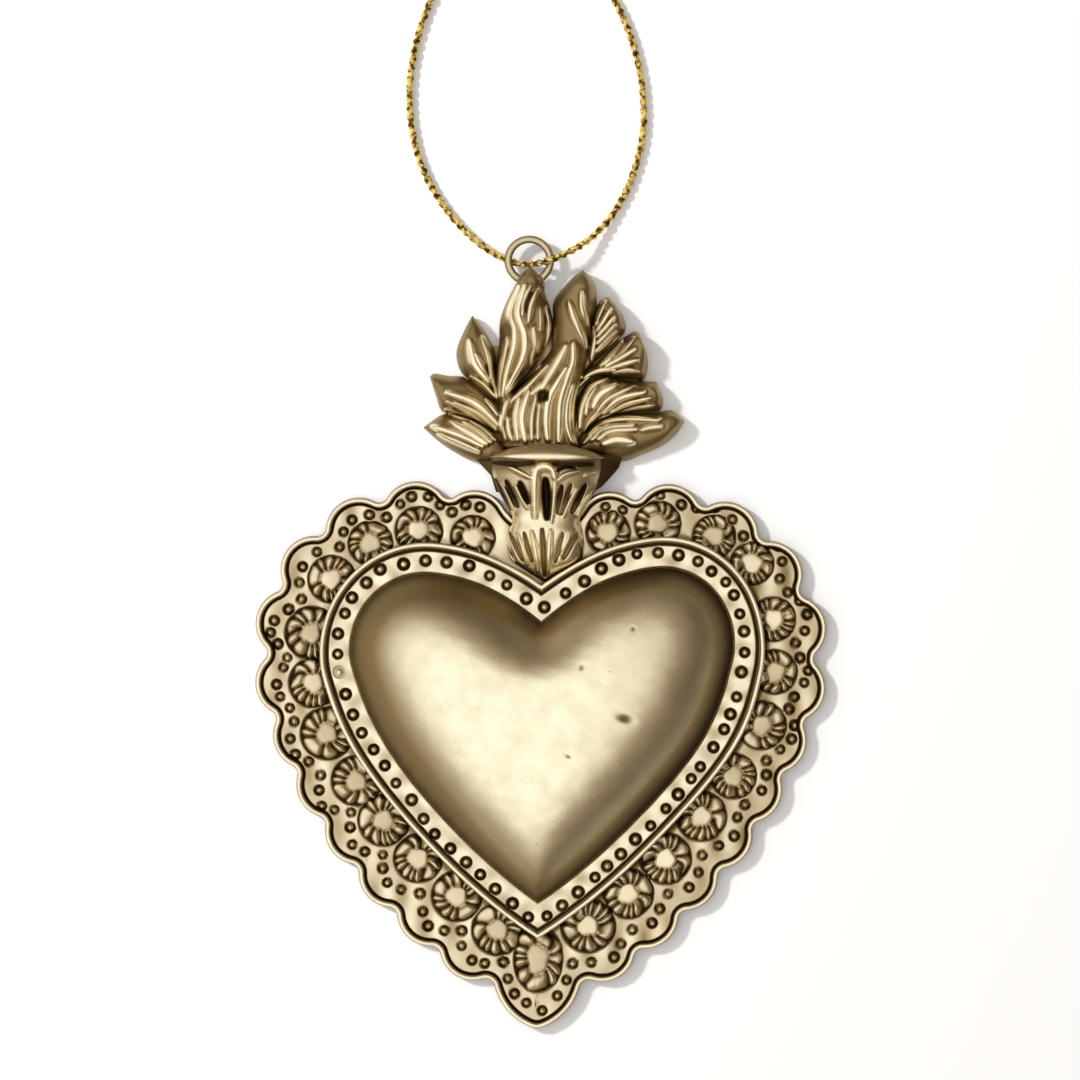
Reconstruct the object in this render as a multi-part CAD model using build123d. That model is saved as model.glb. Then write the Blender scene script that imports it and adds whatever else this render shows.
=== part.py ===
from build123d import *
import os
from math import degrees, radians, sqrt, tan

os.makedirs("parts", exist_ok=True)

# A puffed tin heart with a flame, lying on its back: front towards +Z, hanging ring towards +Y.
# The origin is on the back face, on the centre line, level with the centres of the heart's lobes.

# Heart-shaped window of the beaded band, from which the other heart lines run parallel
LOBE_X = 15.7
LOBE_RADIUS = 9.3
CLEFT_Y = 2.9
TIP_Y = -34.7
CLEFT_ARC_RADIUS = 27.0
SIDE_ARC_RADIUS = 66.0
CORNER_RADIUS = 0.8

# Sheet, wire and fits
PLATE_SHEET = 0.5
BORDER_SHEET = 0.6
BAND_SHEET = 0.7
DOME_SHEET = 0.5
EDGE_WIRE = 1.1
BAND_WIRE = 1.0
FIT = 0.1

# Beaded band round the dome
BAND_WIDTH = 3.0
BAND_TOP = 3.0
BAND_DOTS = 60
BAND_DOT_LINE = 1.9
BAND_DOT_RADIUS = 0.6
BAND_WIRE_STAND = 0.2
DOT_HEIGHT = 0.35

# Dome
DOME_TOP = 10.5
DOME_FLANGE = 1.6
DOME_FULLNESS = 1.0
DOME_CENTRE_Y = -8.0
DOME_LEVELS = [0, 0.3, 0.55, 0.75, 0.9, 0.98]

# Line of the scallop centres, set off from the heart, and the scallops strung on it
BORDER_LOBE_IN = 0.3
BORDER_LOBE_DOWN = 2.0
BORDER_LOBE_OUT = 9.2
BORDER_TIP_OUT = 11.3
BORDER_SIDE_RADIUS = 64.6
SCALLOP_PITCH_INSET = 2.1
SCALLOPS_PER_SIDE = 12
SCALLOP_RADIUS = 4.5
FIRST_SCALLOP_X = 9.0
TIP_SIDE_LEAN = 2.1
TIP_SIDE_RISE = 2.0
TIP_ROUND_RADIUS = 2.2
TIP_ROUND_DROP = 3.5
NOTCH_RADIUS = 1.2
CLEFT_NOTCH_RADIUS = 6.0
LAST_SCALLOP_GAP = 8.6
PLATE_INSET = 0.3
EDGE_DOT_RADIUS = 0.5
EDGE_DOT_GAP = 0.4
EDGE_DOT_PITCH = 2.4

# Rosettes stamped in the border, one for each scallop
ROSETTE_OUT = 2.4
FIRST_ROSETTE = 8.9
ROSETTE_RADIUS = 3.3
ROSETTE_PETALS = 9
ROSETTE_HEIGHT = 0.5
BOSS_RADIUS = 1.7
BOSS_HEIGHT = 1.0
BOSS_ROUNDING = 0.6
PETAL_RADIUS = 1.2

# Urn in the cleft: height over its foot and half width of its half-round sections
URN_FOOT_GAP = 0.16
URN_WAIST = (7.2, 4.4)
URN_SHOULDER = (12.9, 6.9)
URN_RIM = (16.3, 7.4)
URN_SECTIONS = [(0, 0.5), (2.3, 2.9), (4.7, 5.0), URN_WAIST, (10.5, 5.6), URN_SHOULDER, URN_RIM]
URN_DEPTH = 0.62
FLUTES = 5
FLUTE_RADIUS = 0.45
FLUTE_TOP_SPREAD = 2.4
FLUTE_FOOT_SPREAD = 1.5

# Lens-shaped lip on the urn's rim
LIP_HALF_WIDTH = 7.8
LIP_BULGE = 1.4
LIP_DEPTH = 5.4

# Tab of the back plate that stands up behind the flame
TAB_WIDTH = 9.0
TAB_OVER_RIM = 15.6

# Flame outline, measured from the middle of the urn's rim: points with the bulge of the line that follows
FLAME_OUTLINE = [
    (-6.6, -9.4, 0),
    (-7.2, -2.0, 0.8),
    (-16.0, 4.0, 0.3),
    (-13.5, 6.0, 0.2),
    (-15.1, 10.9, -0.2),
    (-11.3, 10.8, 0.9),
    (-9.6, 18.8, -0.5),
    (-6.1, 14.9, 1.0),
    (-2.3, 24.6, -0.5),
    (1.0, 20.9, -0.3),
    (5.1, 24.8, 0.4),
    (7.6, 20.2, 0.1),
    (8.6, 21.2, 0.3),
    (11.5, 15.6, 0.1),
    (12.9, 16.4, 0.4),
    (14.1, 10.0, 0.1),
    (14.9, 9.8, 0.3),
    (16.1, 6.1, -0.2),
    (19.0, 4.9, 1.3),
    (9.6, -0.7, 0),
    (10.2, -2.4, 0),
    (8.8, -9.4, 0),
]

# Raised tongues: tip and root across from the rim's middle, bend to the left, width and height
TONGUE_ROOT_DROP = 1.9
TONGUE_DRAFT = 30.0
TONGUES = [
    ((-15.0, 3.8), -3.6, -0.9, 4.6, 1.3),
    ((-14.2, 10.2), -3.6, -0.7, 4.6, 1.6),
    ((-9.6, 17.5), -2.6, 1.3, 4.8, 1.9),
    ((-2.7, 22.5), -1.0, 1.6, 6.0, 2.5),
    ((5.0, 23.6), 0.8, -0.4, 6.4, 2.8),
    ((8.7, 20.0), 2.6, -0.3, 4.4, 2.2),
    ((12.6, 15.2), 3.4, -0.4, 4.4, 1.9),
    ((14.8, 8.8), 4.0, -0.3, 4.4, 1.6),
    ((17.9, 4.5), 4.2, -0.3, 4.0, 1.3),
]

# Hanging ring, measured from the middle of the urn's rim, and the dab of solder behind it
RING_X = -2.1
RING_OVER_RIM = 26.0
RING_Z = 1.9
RING_RADIUS = 2.8
RING_WIRE = 1.0
SOLDER_RADIUS = 0.7

# Hanging cord, a loop through the ring with its ends tied in a knot
CORD = 1.0
KNOT_RADIUS = 1.3
KNOT_BEYOND = 0.5
KNOT_TAIL = 4.0
KNOT_TAIL_SPREAD = 25.0

# Way of the cord from the ring's centre, with its height over lying on the table
CORD_ROUTE = [
    (-1.8, 47.7, 0.6),
    (-5.3, 45.2, 0.05),
    (-9.3, 41.5, 0.05),
    (-12.8, 36.4, 0.05),
    (-15.1, 30.5, 0.05),
    (-16.3, 24.0, 0.05),
    (-16.0, 17.5, 0.05),
    (-14.3, 11.7, 0.05),
    (-11.3, 6.8, 0.05),
    (-7.5, 2.8, 0.05),
    (-4.3, 0.7, 0.05),
    (-1.8, -0.3, 0.1),
    (0.1, -0.5, 1.2),
    (1.9, -0.3, 2.5),
    (3.7, 0.3, 2.9),
    (5.9, 1.4, 2.3),
    (8.5, 3.2, 0.9),
    (11.3, 6.4, 0.1),
    (13.8, 11.5, 0.05),
    (15.2, 17.5, 0.05),
    (14.9, 23.8, 0.05),
    (13.3, 30.2, 0.05),
    (10.5, 36.0, 0.05),
    (7.0, 40.8, 0.05),
    (3.3, 44.7, 0.05),
    (-0.4, 47.7, 0.6),
]
CORD_FILLET_SHARE = 0.45

# Heights of the stack, from the back face
border_top = PLATE_SHEET + BORDER_SHEET
edge_wire_top = PLATE_SHEET + EDGE_WIRE
band_wire_seat = BAND_TOP + BAND_WIRE_STAND - BAND_WIRE
band_wire_line = BAND_WIDTH + BAND_WIRE / 2
band_edge = BAND_WIDTH + BAND_WIRE


def circles_cross(centre_a, radius_a, centre_b, radius_b, side):
    """Where two circles cross, on the left (1) or the right (-1) of the way from a to b."""
    way = centre_b - centre_a
    along = (radius_a**2 - radius_b**2 + way.length**2) / (2 * way.length)
    across = sqrt(radius_a**2 - along**2)
    unit = way.normalized()
    return centre_a + unit * along + Vector(-unit.Y, unit.X) * across * side


def arc_round(centre, start, end):
    """The shorter arc round a centre from start to end."""
    middle = (start - centre).normalized() + (end - centre).normalized()
    return ThreePointArc(start, centre + middle.normalized() * (start - centre).length, end)


def mirrored(point):
    """The point on the other side of the centre line."""
    return Vector(-point.X, point.Y)


def arc_centres(lobe, lobe_radius, cleft_y, cleft_radius, tip_y, side_radius):
    """Centres of the cleft, lobe and side arcs of half a heart, each arc touching the next."""
    cleft_centre = circles_cross(Vector(0, cleft_y), cleft_radius, lobe, cleft_radius - lobe_radius, -1)
    side_centre = circles_cross(Vector(0, tip_y), side_radius, lobe, side_radius - lobe_radius, 1)
    return [cleft_centre, lobe, side_centre]


def half_heart(centres, radii, flip):
    """The three arcs of half a heart, from the cleft to the tip."""
    cleft_centre, lobe, side_centre = centres
    cleft_y = cleft_centre.Y + sqrt(radii[0] ** 2 - cleft_centre.X**2)
    tip_y = side_centre.Y - sqrt(radii[2] ** 2 - side_centre.X**2)
    shoulder = lobe + (lobe - cleft_centre).normalized() * radii[1]
    flank = lobe + (lobe - side_centre).normalized() * radii[1]
    stops = [Vector(0, cleft_y), shoulder, flank, Vector(0, tip_y)]
    if flip:
        stops = [mirrored(stop) for stop in stops]
        centres = [mirrored(centre) for centre in centres]
    return [arc_round(centre, stops[i], stops[i + 1]) for i, centre in enumerate(centres)]


window_centres = arc_centres(
    Vector(LOBE_X, 0), LOBE_RADIUS, CLEFT_Y, CLEFT_ARC_RADIUS, TIP_Y, SIDE_ARC_RADIUS
)


def heart_arcs(grow, flip):
    """Half of the heart at a distance outside the window line."""
    radii = [CLEFT_ARC_RADIUS + grow, LOBE_RADIUS + grow, SIDE_ARC_RADIUS + grow]
    return half_heart(window_centres, radii, flip)


def heart(grow):
    """Face of the whole heart at a distance outside the window line."""
    return make_face(Wire(heart_arcs(grow, False) + heart_arcs(grow, True)))


def rounded_heart(grow):
    """The same heart with its cleft and tip rounded."""
    face = heart(grow)
    corners = [corner for corner in face.vertices() if abs(corner.X) < FIT]
    return fillet(corners, CORNER_RADIUS)


def raised(face, bottom, top):
    """A flat face stood up as a prism between two heights."""
    return extrude(Pos(0, 0, bottom) * face, top - bottom, dir=(0, 0, 1))


def along_heart(grow, distance):
    """Point and outward direction at a distance from the cleft, along the right half of a heart."""
    line = Wire(heart_arcs(grow, False))
    share = distance / line.length
    way = line % share
    return line @ share, Vector(-way.Y, way.X), line.length


# Scallops: circles strung from beside the urn round to the tip
border_lobe = Vector(LOBE_X - BORDER_LOBE_IN, -BORDER_LOBE_DOWN)
border_lobe_radius = LOBE_RADIUS + BORDER_LOBE_OUT
border_tip = Vector(0, TIP_Y - BORDER_TIP_OUT)
border_side = circles_cross(
    border_tip, BORDER_SIDE_RADIUS, border_lobe, BORDER_SIDE_RADIUS - border_lobe_radius, 1
)


def scallop_circles():
    """Centre and radius of each scallop on the right half, from beside the urn round to the tip."""
    reach = border_lobe_radius - SCALLOP_PITCH_INSET
    side_reach = BORDER_SIDE_RADIUS - SCALLOP_PITCH_INSET
    first_across = (FIRST_SCALLOP_X - border_lobe.X) * reach / border_lobe_radius
    start = border_lobe + Vector(first_across, sqrt(reach**2 - first_across**2))
    flank = border_lobe + (border_lobe - border_side).normalized() * reach
    tip = Vector(0, border_side.Y - sqrt(side_reach**2 - border_side.X**2))
    line = Wire([arc_round(border_lobe, start, flank), arc_round(border_side, flank, tip)])
    pitch = (line.length - LAST_SCALLOP_GAP) / (SCALLOPS_PER_SIDE - 1)
    circles = []
    for i in range(SCALLOPS_PER_SIDE):
        share = i * pitch / line.length
        way = line % share
        circles.append((line @ share + Vector(-way.Y, way.X) * SCALLOP_PITCH_INSET, SCALLOP_RADIUS))
    return circles


# The tip is a pointed scallop of three arcs: two sides that touch a small round end
tip_round = (border_tip - Vector(0, TIP_ROUND_DROP), TIP_ROUND_RADIUS)
tip_side_centre = border_tip + Vector(-TIP_SIDE_LEAN, TIP_SIDE_RISE)
tip_side = (tip_side_centre, TIP_ROUND_RADIUS + (tip_round[0] - tip_side_centre).length)
right_circles = scallop_circles() + [tip_side]
left_circles = [(mirrored(centre), radius) for centre, radius in right_circles]


def notch_between(one, other, grow, notch):
    """Centre of the rounding between two scallops and where it touches each of them."""
    centre = circles_cross(one[0], one[1] + notch, other[0], other[1] + notch, 1)
    touches = []
    for middle, radius in (one, other):
        touches.append(middle + (centre - middle).normalized() * (radius + grow))
    return centre, touches


def half_edge(grow):
    """Arcs of the scalloped edge on the right half, from the middle of the cleft to the tip."""
    cleft, touches = notch_between(left_circles[0], right_circles[0], grow, CLEFT_NOTCH_RADIUS)
    start = touches[1]
    edges = [arc_round(cleft, cleft - Vector(0, CLEFT_NOTCH_RADIUS - grow), start)]
    for one, other in zip(right_circles, right_circles[1:]):
        notch, (end, following) = notch_between(one, other, grow, NOTCH_RADIUS)
        edges.append(arc_round(one[0], start, end))
        edges.append(arc_round(notch, end, following))
        start = following
    touch = tip_round[0] + (tip_round[0] - tip_side[0]).normalized() * (TIP_ROUND_RADIUS + grow)
    edges.append(arc_round(tip_side[0], start, touch))
    edges.append(arc_round(tip_round[0], touch, tip_round[0] - Vector(0, TIP_ROUND_RADIUS + grow)))
    return edges


def scalloped_face(grow):
    """Face inside the scalloped edge, at a distance outside it."""
    right = half_edge(grow)
    left = [edge.mirror(Plane.YZ) for edge in right]
    return make_face(Wire(right + left))


# Rosettes sit outside the band, evenly spaced from beside the urn to the tip
rosette_line = band_edge + ROSETTE_OUT
rosette_length = along_heart(rosette_line, 0)[2]
rosette_pitch = (rosette_length - FIRST_ROSETTE) / SCALLOPS_PER_SIDE
rosette_spots = []
for i in range(SCALLOPS_PER_SIDE + 1):
    spot = along_heart(rosette_line, FIRST_ROSETTE + i * rosette_pitch)[0]
    rosette_spots.append(spot)
    if i < SCALLOPS_PER_SIDE:
        rosette_spots.append(mirrored(spot))

# Punched dots of the border: three along each arc of it and one behind each notch
edge_dot_inset = EDGE_WIRE + EDGE_DOT_GAP + EDGE_DOT_RADIUS
right_dots = []
for one, other in zip(right_circles, right_circles[1:]):
    notch, touches = notch_between(one, other, 0, NOTCH_RADIUS)
    inward = (touches[0] + touches[1]) / 2 - notch
    right_dots.append(notch + inward.normalized() * (NOTCH_RADIUS + edge_dot_inset))
for edge, (middle, radius) in zip(half_edge(0)[1::2], right_circles):
    outward = (edge @ 0.5 - middle).normalized()
    reach = radius - edge_dot_inset
    for step in (-1, 0, 1):
        turn = step * degrees(EDGE_DOT_PITCH / reach)
        right_dots.append(middle + outward.rotate(Axis.Z, turn) * reach)
edge_dot_spots = right_dots + [mirrored(spot) for spot in right_dots]

# Beads of the band, evenly spaced round its middle
band_dot_spots = []
for flip in (False, True):
    line = Wire(heart_arcs(BAND_DOT_LINE, flip))
    for i in range(BAND_DOTS // 2):
        band_dot_spots.append(line @ ((i + 0.5) / (BAND_DOTS // 2)))


def dots(spots, radius, bottom):
    """Low round beads standing on a sheet."""
    return [Pos(spot.X, spot.Y, bottom) * extrude(Circle(radius), DOT_HEIGHT) for spot in spots]


# The urn stands in the cleft of the band, and the flame, ring and cord follow from its rim
urn_foot_y = Wire(heart_arcs(band_edge, False)).vertices().sort_by(Axis.X)[0].Y + URN_FOOT_GAP
rim = Vector(0, urn_foot_y + URN_RIM[0])
ring_centre = rim + Vector(RING_X, RING_OVER_RIM, RING_Z)


def bulged_line(start, end, bulge):
    """A line that bows out to its left by the bulge."""
    if bulge == 0:
        return Line(start, end)
    return SagittaArc(start, end, bulge)


flame_edges = []
for i, (x, y, bulge) in enumerate(FLAME_OUTLINE):
    following = FLAME_OUTLINE[(i + 1) % len(FLAME_OUTLINE)]
    flame_edges.append(bulged_line((x, y), following[:2], bulge))
flame_face = Pos(rim) * make_face(Wire(flame_edges))

tongue_faces = []
for tip, root_x, bend, width, height in TONGUES:
    tip = rim + Vector(*tip)
    root = rim + Vector(root_x, -TONGUE_ROOT_DROP)
    left = Vector(root.Y - tip.Y, tip.X - root.X).normalized()
    middle = (tip + root) / 2
    right_edge = ThreePointArc(root, middle + left * (bend - width / 2), tip)
    left_edge = ThreePointArc(tip, middle + left * (bend + width / 2), root)
    tongue_faces.append(make_face(Wire([right_edge, left_edge])))


def tapered(face, bottom, height):
    """A flat face raised with its sides drawn in."""
    return extrude(Pos(0, 0, bottom) * face, height, taper=TONGUE_DRAFT)


def ring_body(thickness):
    """The hanging ring, or the seat for it, from wire of a thickness."""
    return Pos(ring_centre) * Torus(RING_RADIUS, thickness / 2)


def solder_body():
    """Round dab behind the ring, from the back of the flame up to the middle of the wire."""
    height = RING_Z - PLATE_SHEET
    foot = Pos(ring_centre.X, ring_centre.Y - RING_RADIUS, PLATE_SHEET)
    return foot * extrude(Circle(SOLDER_RADIUS), height)


def lip_lens(grow):
    """Outline of the urn's lip as a lens of two arcs."""
    ends = [(-LIP_HALF_WIDTH - grow, rim.Y), (LIP_HALF_WIDTH + grow, rim.Y)]
    top = SagittaArc(ends[0], ends[1], LIP_BULGE + grow)
    foot = SagittaArc(ends[1], ends[0], LIP_BULGE + grow)
    return make_face(Wire([top, foot]))


def urn_section(height, half_width):
    """Half-round section of the urn at a height over its foot, flat at the back."""
    depth = half_width * URN_DEPTH
    arc = EllipticalCenterArc((0, 0), half_width, depth, start_angle=0, arc_size=180)
    face = make_face(Wire([arc, Line((-half_width, 0), (half_width, 0))]))
    return Plane((0, urn_foot_y + height, edge_wire_top), x_dir=(1, 0, 0), z_dir=(0, -1, 0)) * face


def dome_section(share, inset):
    """Heart outline of the dome at a share of its rise: it draws in and its cleft fills out."""
    size = sqrt(1 - share**DOME_FULLNESS)
    shift = DOME_CENTRE_Y * (1 - size)
    filled_cleft_y = CLEFT_Y + share * (LOBE_RADIUS - CLEFT_Y)
    radii = [size * CLEFT_ARC_RADIUS, size * LOBE_RADIUS, size * SIDE_ARC_RADIUS]
    lobe = Vector(size * LOBE_X, shift)
    centres = arc_centres(
        lobe, radii[1], shift + size * filled_cleft_y, radii[0], shift + size * TIP_Y, radii[2]
    )
    radii = [radius - inset for radius in radii]
    face = make_face(Wire(half_heart(centres, radii, False) + half_heart(centres, radii, True)))
    return Pos(0, 0, BAND_TOP + share * (DOME_TOP - BAND_TOP) - inset) * face


def dome_body(inset):
    """Straight wall up through the band, and the puffed crown over it."""
    wall = raised(heart(-inset), PLATE_SHEET, BAND_TOP - inset)
    return wall + loft([dome_section(share, inset) for share in DOME_LEVELS])


def wire_round(face, thickness, height):
    """Round wire bent along the outline of a face."""
    path = Pos(0, 0, height) * face.face().outer_wire()
    start = Plane(origin=path @ 0, z_dir=path % 0)
    return sweep(start * Circle(thickness / 2), path=path)


back_plate = raised(scalloped_face(-PLATE_INSET), 0, PLATE_SHEET)
tab_length = rim.Y + TAB_OVER_RIM
tab = Pos(0, tab_length / 2) * SlotOverall(tab_length, TAB_WIDTH, rotation=90)
back_plate += raised(tab, 0, PLATE_SHEET)

petal_ring = ROSETTE_RADIUS - PETAL_RADIUS
flower = Circle(petal_ring) + PolarLocations(petal_ring, ROSETTE_PETALS) * Circle(PETAL_RADIUS)
rosette = extrude(flower, ROSETTE_HEIGHT)
boss = extrude(Circle(BOSS_RADIUS), BOSS_HEIGHT)
rosette += fillet(boss.edges().sort_by(Axis.Z)[-1], BOSS_ROUNDING)

inside_wire = scalloped_face(-EDGE_WIRE - FIT)
sheet = raised(inside_wire - heart(DOME_FLANGE + FIT), PLATE_SHEET, border_top)
stamped_zone = raised(inside_wire - heart(band_edge + FIT), border_top, border_top + BOSS_HEIGHT)
rosettes = [Pos(spot.X, spot.Y, border_top) * rosette for spot in rosette_spots]
stamping = Part() + rosettes + dots(edge_dot_spots, EDGE_DOT_RADIUS, border_top)
scalloped_border = sheet + (stamping & stamped_zone)

edge_wire = wire_round(scalloped_face(-EDGE_WIRE / 2), EDGE_WIRE, PLATE_SHEET + EDGE_WIRE / 2)

collar = heart(BAND_WIDTH) - heart(BAND_WIDTH - BAND_SHEET)
foot = heart(band_edge) - heart(BAND_WIDTH - BAND_SHEET)
ledge = heart(BAND_WIDTH) - heart(FIT)
beaded_band = raised(collar, border_top, BAND_TOP) + raised(foot, border_top, band_wire_seat)
beaded_band += raised(ledge, BAND_TOP - BAND_SHEET, BAND_TOP)
beaded_band = beaded_band.fuse(*dots(band_dot_spots, BAND_DOT_RADIUS, BAND_TOP))

band_wire = wire_round(rounded_heart(band_wire_line), BAND_WIRE, band_wire_seat + BAND_WIRE / 2)

flange = raised(heart(DOME_FLANGE), PLATE_SHEET, PLATE_SHEET + DOME_SHEET)
heart_dome = flange + dome_body(0) - dome_body(DOME_SHEET)

urn_zone = lip_lens(FIT) + Pos(rim / 2) * Rectangle(2 * URN_RIM[1] + 2 * FIT, rim.Y)
tongues = []
for face, (tip, root_x, bend, width, height) in zip(tongue_faces, TONGUES):
    tongues.append(tapered(face, edge_wire_top, height))
flame_sheet = raised(flame_face - scalloped_face(FIT), PLATE_SHEET, edge_wire_top)
flame = flame_sheet.fuse(*tongues) - raised(urn_zone, edge_wire_top, DOME_TOP)
flame = flame - ring_body(RING_WIRE + 2 * FIT) - solder_body()

hanging_ring = ring_body(RING_WIRE)
ring_solder = solder_body() - ring_body(RING_WIRE)

urn = loft([urn_section(height, half_width) for height, half_width in URN_SECTIONS])
urn -= raised(lip_lens(0), edge_wire_top, DOME_TOP)


def urn_surface(section, across):
    """Point on the face of the urn at one of its sections."""
    height, half_width = section
    depth = URN_DEPTH * sqrt(half_width**2 - across**2)
    return Vector(across, urn_foot_y + height, edge_wire_top + depth)


for i in range(FLUTES):
    step = i - (FLUTES - 1) / 2
    start = urn_surface(URN_SHOULDER, step * FLUTE_TOP_SPREAD)
    end = urn_surface(URN_WAIST, step * FLUTE_FOOT_SPREAD)
    rod = extrude(Circle(FLUTE_RADIUS), (end - start).length)
    urn -= Plane(origin=start, z_dir=end - start) * rod

lip_arc = EllipticalCenterArc((0, 0), LIP_HALF_WIDTH, LIP_DEPTH, start_angle=0, arc_size=180)
lip_base = Line((-LIP_HALF_WIDTH, 0), (LIP_HALF_WIDTH, 0))
lip_plane = Plane((0, rim.Y, edge_wire_top), x_dir=(1, 0, 0), z_dir=(0, -1, 0))
lip_block = extrude(lip_plane * make_face(Wire([lip_arc, lip_base])), 2 * LIP_BULGE, both=True)
urn_lip = lip_block & raised(lip_lens(0), edge_wire_top, DOME_TOP)

route = [Vector(ring_centre.X + x, ring_centre.Y + y, CORD / 2 + lift) for x, y, lift in CORD_ROUTE]
radii = []
for before, point, after in zip(route, route[1:], route[2:]):
    turn = (point - before).get_angle(after - point)
    shorter = min((point - before).length, (after - point).length)
    radii.append(CORD_FILLET_SHARE * shorter / tan(radians(turn / 2)))
cord_path = FilletPolyline(*route, radius=radii)
cord_start = Plane(origin=cord_path @ 0, z_dir=cord_path % 0)
cord = sweep(cord_start * Circle(CORD / 2), path=cord_path)

ends = (route[0] + route[-1]) / 2
knot_centre = Vector(ends.X, ends.Y + KNOT_BEYOND, KNOT_RADIUS)
cord_knot = Pos(knot_centre) * Sphere(KNOT_RADIUS)
for turn in (-KNOT_TAIL_SPREAD, KNOT_TAIL_SPREAD):
    tail_way = Vector(0, 1, 0).rotate(Axis.Z, turn)
    tail = extrude(Circle(CORD / 2), KNOT_RADIUS + KNOT_TAIL)
    cord_knot += Plane(origin=knot_centre, z_dir=tail_way) * tail

pieces = {
    "back_plate": back_plate,
    "scalloped_border": scalloped_border,
    "edge_wire": edge_wire,
    "beaded_band": beaded_band,
    "band_wire": band_wire,
    "heart_dome": heart_dome,
    "flame": flame,
    "urn": urn,
    "urn_lip": urn_lip,
    "hanging_ring": hanging_ring,
    "ring_solder": ring_solder,
    "cord": cord,
    "cord_knot": cord_knot,
}
for name, piece in pieces.items():
    export_step(piece, f"parts/{name}.step")
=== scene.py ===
from math import radians

import bpy
import numpy as np
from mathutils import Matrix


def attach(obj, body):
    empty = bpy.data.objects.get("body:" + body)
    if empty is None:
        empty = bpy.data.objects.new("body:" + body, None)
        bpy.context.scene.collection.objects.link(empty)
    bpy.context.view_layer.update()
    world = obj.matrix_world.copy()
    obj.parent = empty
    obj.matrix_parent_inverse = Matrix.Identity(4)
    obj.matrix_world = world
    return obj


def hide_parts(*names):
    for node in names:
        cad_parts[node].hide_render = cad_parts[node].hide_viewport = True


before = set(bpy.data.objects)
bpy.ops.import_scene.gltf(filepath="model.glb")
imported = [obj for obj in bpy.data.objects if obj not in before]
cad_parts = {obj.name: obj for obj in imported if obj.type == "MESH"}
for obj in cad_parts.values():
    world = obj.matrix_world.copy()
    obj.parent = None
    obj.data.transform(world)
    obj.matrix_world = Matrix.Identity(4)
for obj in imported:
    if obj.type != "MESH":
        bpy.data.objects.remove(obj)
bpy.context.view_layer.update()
scene = bpy.context.scene

# The table: a white floor, on which the ornament lies on its back.
# The room is bright overhead and dim towards the horizon; a key light at the left casts the shadow.
# The camera looks straight down and is turned a little.
FLOOR_REACH = 3.0
FLOOR_DROP = 0.0001
FLOOR_GLOW = 0.08


def shaded(name, values):
    """A new material with these values on its shader; gives the material, its tree and the shader."""
    material = bpy.data.materials.new(name)
    material.use_nodes = True
    shader = material.node_tree.nodes["Principled BSDF"]
    for socket, value in values.items():
        shader.inputs[socket].default_value = value
    return material, material.node_tree, shader


def added(tree, kind, values=(), **settings):
    """A new shader node with its settings and the values of its sockets."""
    node = tree.nodes.new("ShaderNode" + kind)
    for name, setting in settings.items():
        setattr(node, name, setting)
    for socket, value in dict(values).items():
        node.inputs[socket].default_value = value
    return node


def wired(tree, *links):
    """Links between nodes, each written as a source, its output, a target and its input."""
    for source, output, target, entry in links:
        tree.links.new(source.outputs[output], target.inputs[entry])


floor_corners = np.array([(-1, -1, 0), (1, -1, 0), (1, 1, 0), (-1, 1, 0)]) * FLOOR_REACH
floor_corners[:, 2] = -FLOOR_DROP
floor_mesh = bpy.data.meshes.new("floor")
floor_mesh.from_pydata(floor_corners.tolist(), [], [(0, 1, 2, 3)])
floor = bpy.data.objects.new("floor", floor_mesh)
scene.collection.objects.link(floor)
white, white_tree, white_shader = shaded(
    "white table",
    {
        "Base Color": (0.8, 0.8, 0.8, 1),
        "Roughness": 1.0,
        "Specular IOR Level": 0.0,
        "Emission Color": (1, 1, 1, 1),
    },
)
white_path = added(white_tree, "LightPath")
white_mirrored = added(white_tree, "Math", operation="MAXIMUM")
white_seen = added(white_tree, "Math", operation="MAXIMUM")
white_glow = added(white_tree, "Math", {1: FLOOR_GLOW}, operation="MULTIPLY")
wired(
    white_tree,
    (white_path, "Is Camera Ray", white_seen, 0),
    (white_path, "Is Glossy Ray", white_mirrored, 0),
    (white_path, "Is Transmission Ray", white_mirrored, 1),
    (white_mirrored, "Value", white_seen, 1),
    (white_seen, "Value", white_glow, 0),
    (white_glow, "Value", white_shader, "Emission Strength"),
)
floor_mesh.materials.append(white)

lamp = bpy.data.lights.new("key light", "AREA")
lamp.energy = 3.5
lamp.size = 0.06
key_light = bpy.data.objects.new("key light", lamp)
key_light.location = (-0.44, 0.24, 0.44)
key_light.rotation_euler = (radians(-28), radians(-42), 0)
key_light.visible_glossy = False
scene.collection.objects.link(key_light)

SKY_MIDDLE = (-0.36, -0.08, 0.93)
SKY_STRENGTH = 1.08
HORIZON = (0.09, 0.07, 0.045, 1)
SKY_STEPS = [(0.2, 0.22, 0.45), (0.42, 0.32, 0.40), (0.56, 0.58, 0.20), (0.7, 0.88, 0.05)]
world = bpy.data.worlds.new("room")
scene.world = world
world.use_nodes = True
room = world.node_tree
sky = room.nodes["Background"]
sky.inputs["Strength"].default_value = SKY_STRENGTH
sky_way = added(room, "TexCoord")
sky_turn = added(room, "VectorMath", {1: SKY_MIDDLE}, operation="DOT_PRODUCT")
sky_ramp = added(room, "ValToRGB")
sky_tones = sky_ramp.color_ramp.elements
sky_tones[0].position = 0.0
sky_tones[0].color = HORIZON
sky_tones[1].position = 0.9
sky_tones[1].color = (1, 1, 1, 1)
for place, level, warmth in SKY_STEPS:
    sky_tones.new(place).color = (level, level * (1 - warmth / 2), level * (1 - warmth), 1)
wired(
    room,
    (sky_way, "Generated", sky_turn, 0),
    (sky_turn, "Value", sky_ramp, "Fac"),
    (sky_ramp, "Color", sky, "Color"),
)

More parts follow.
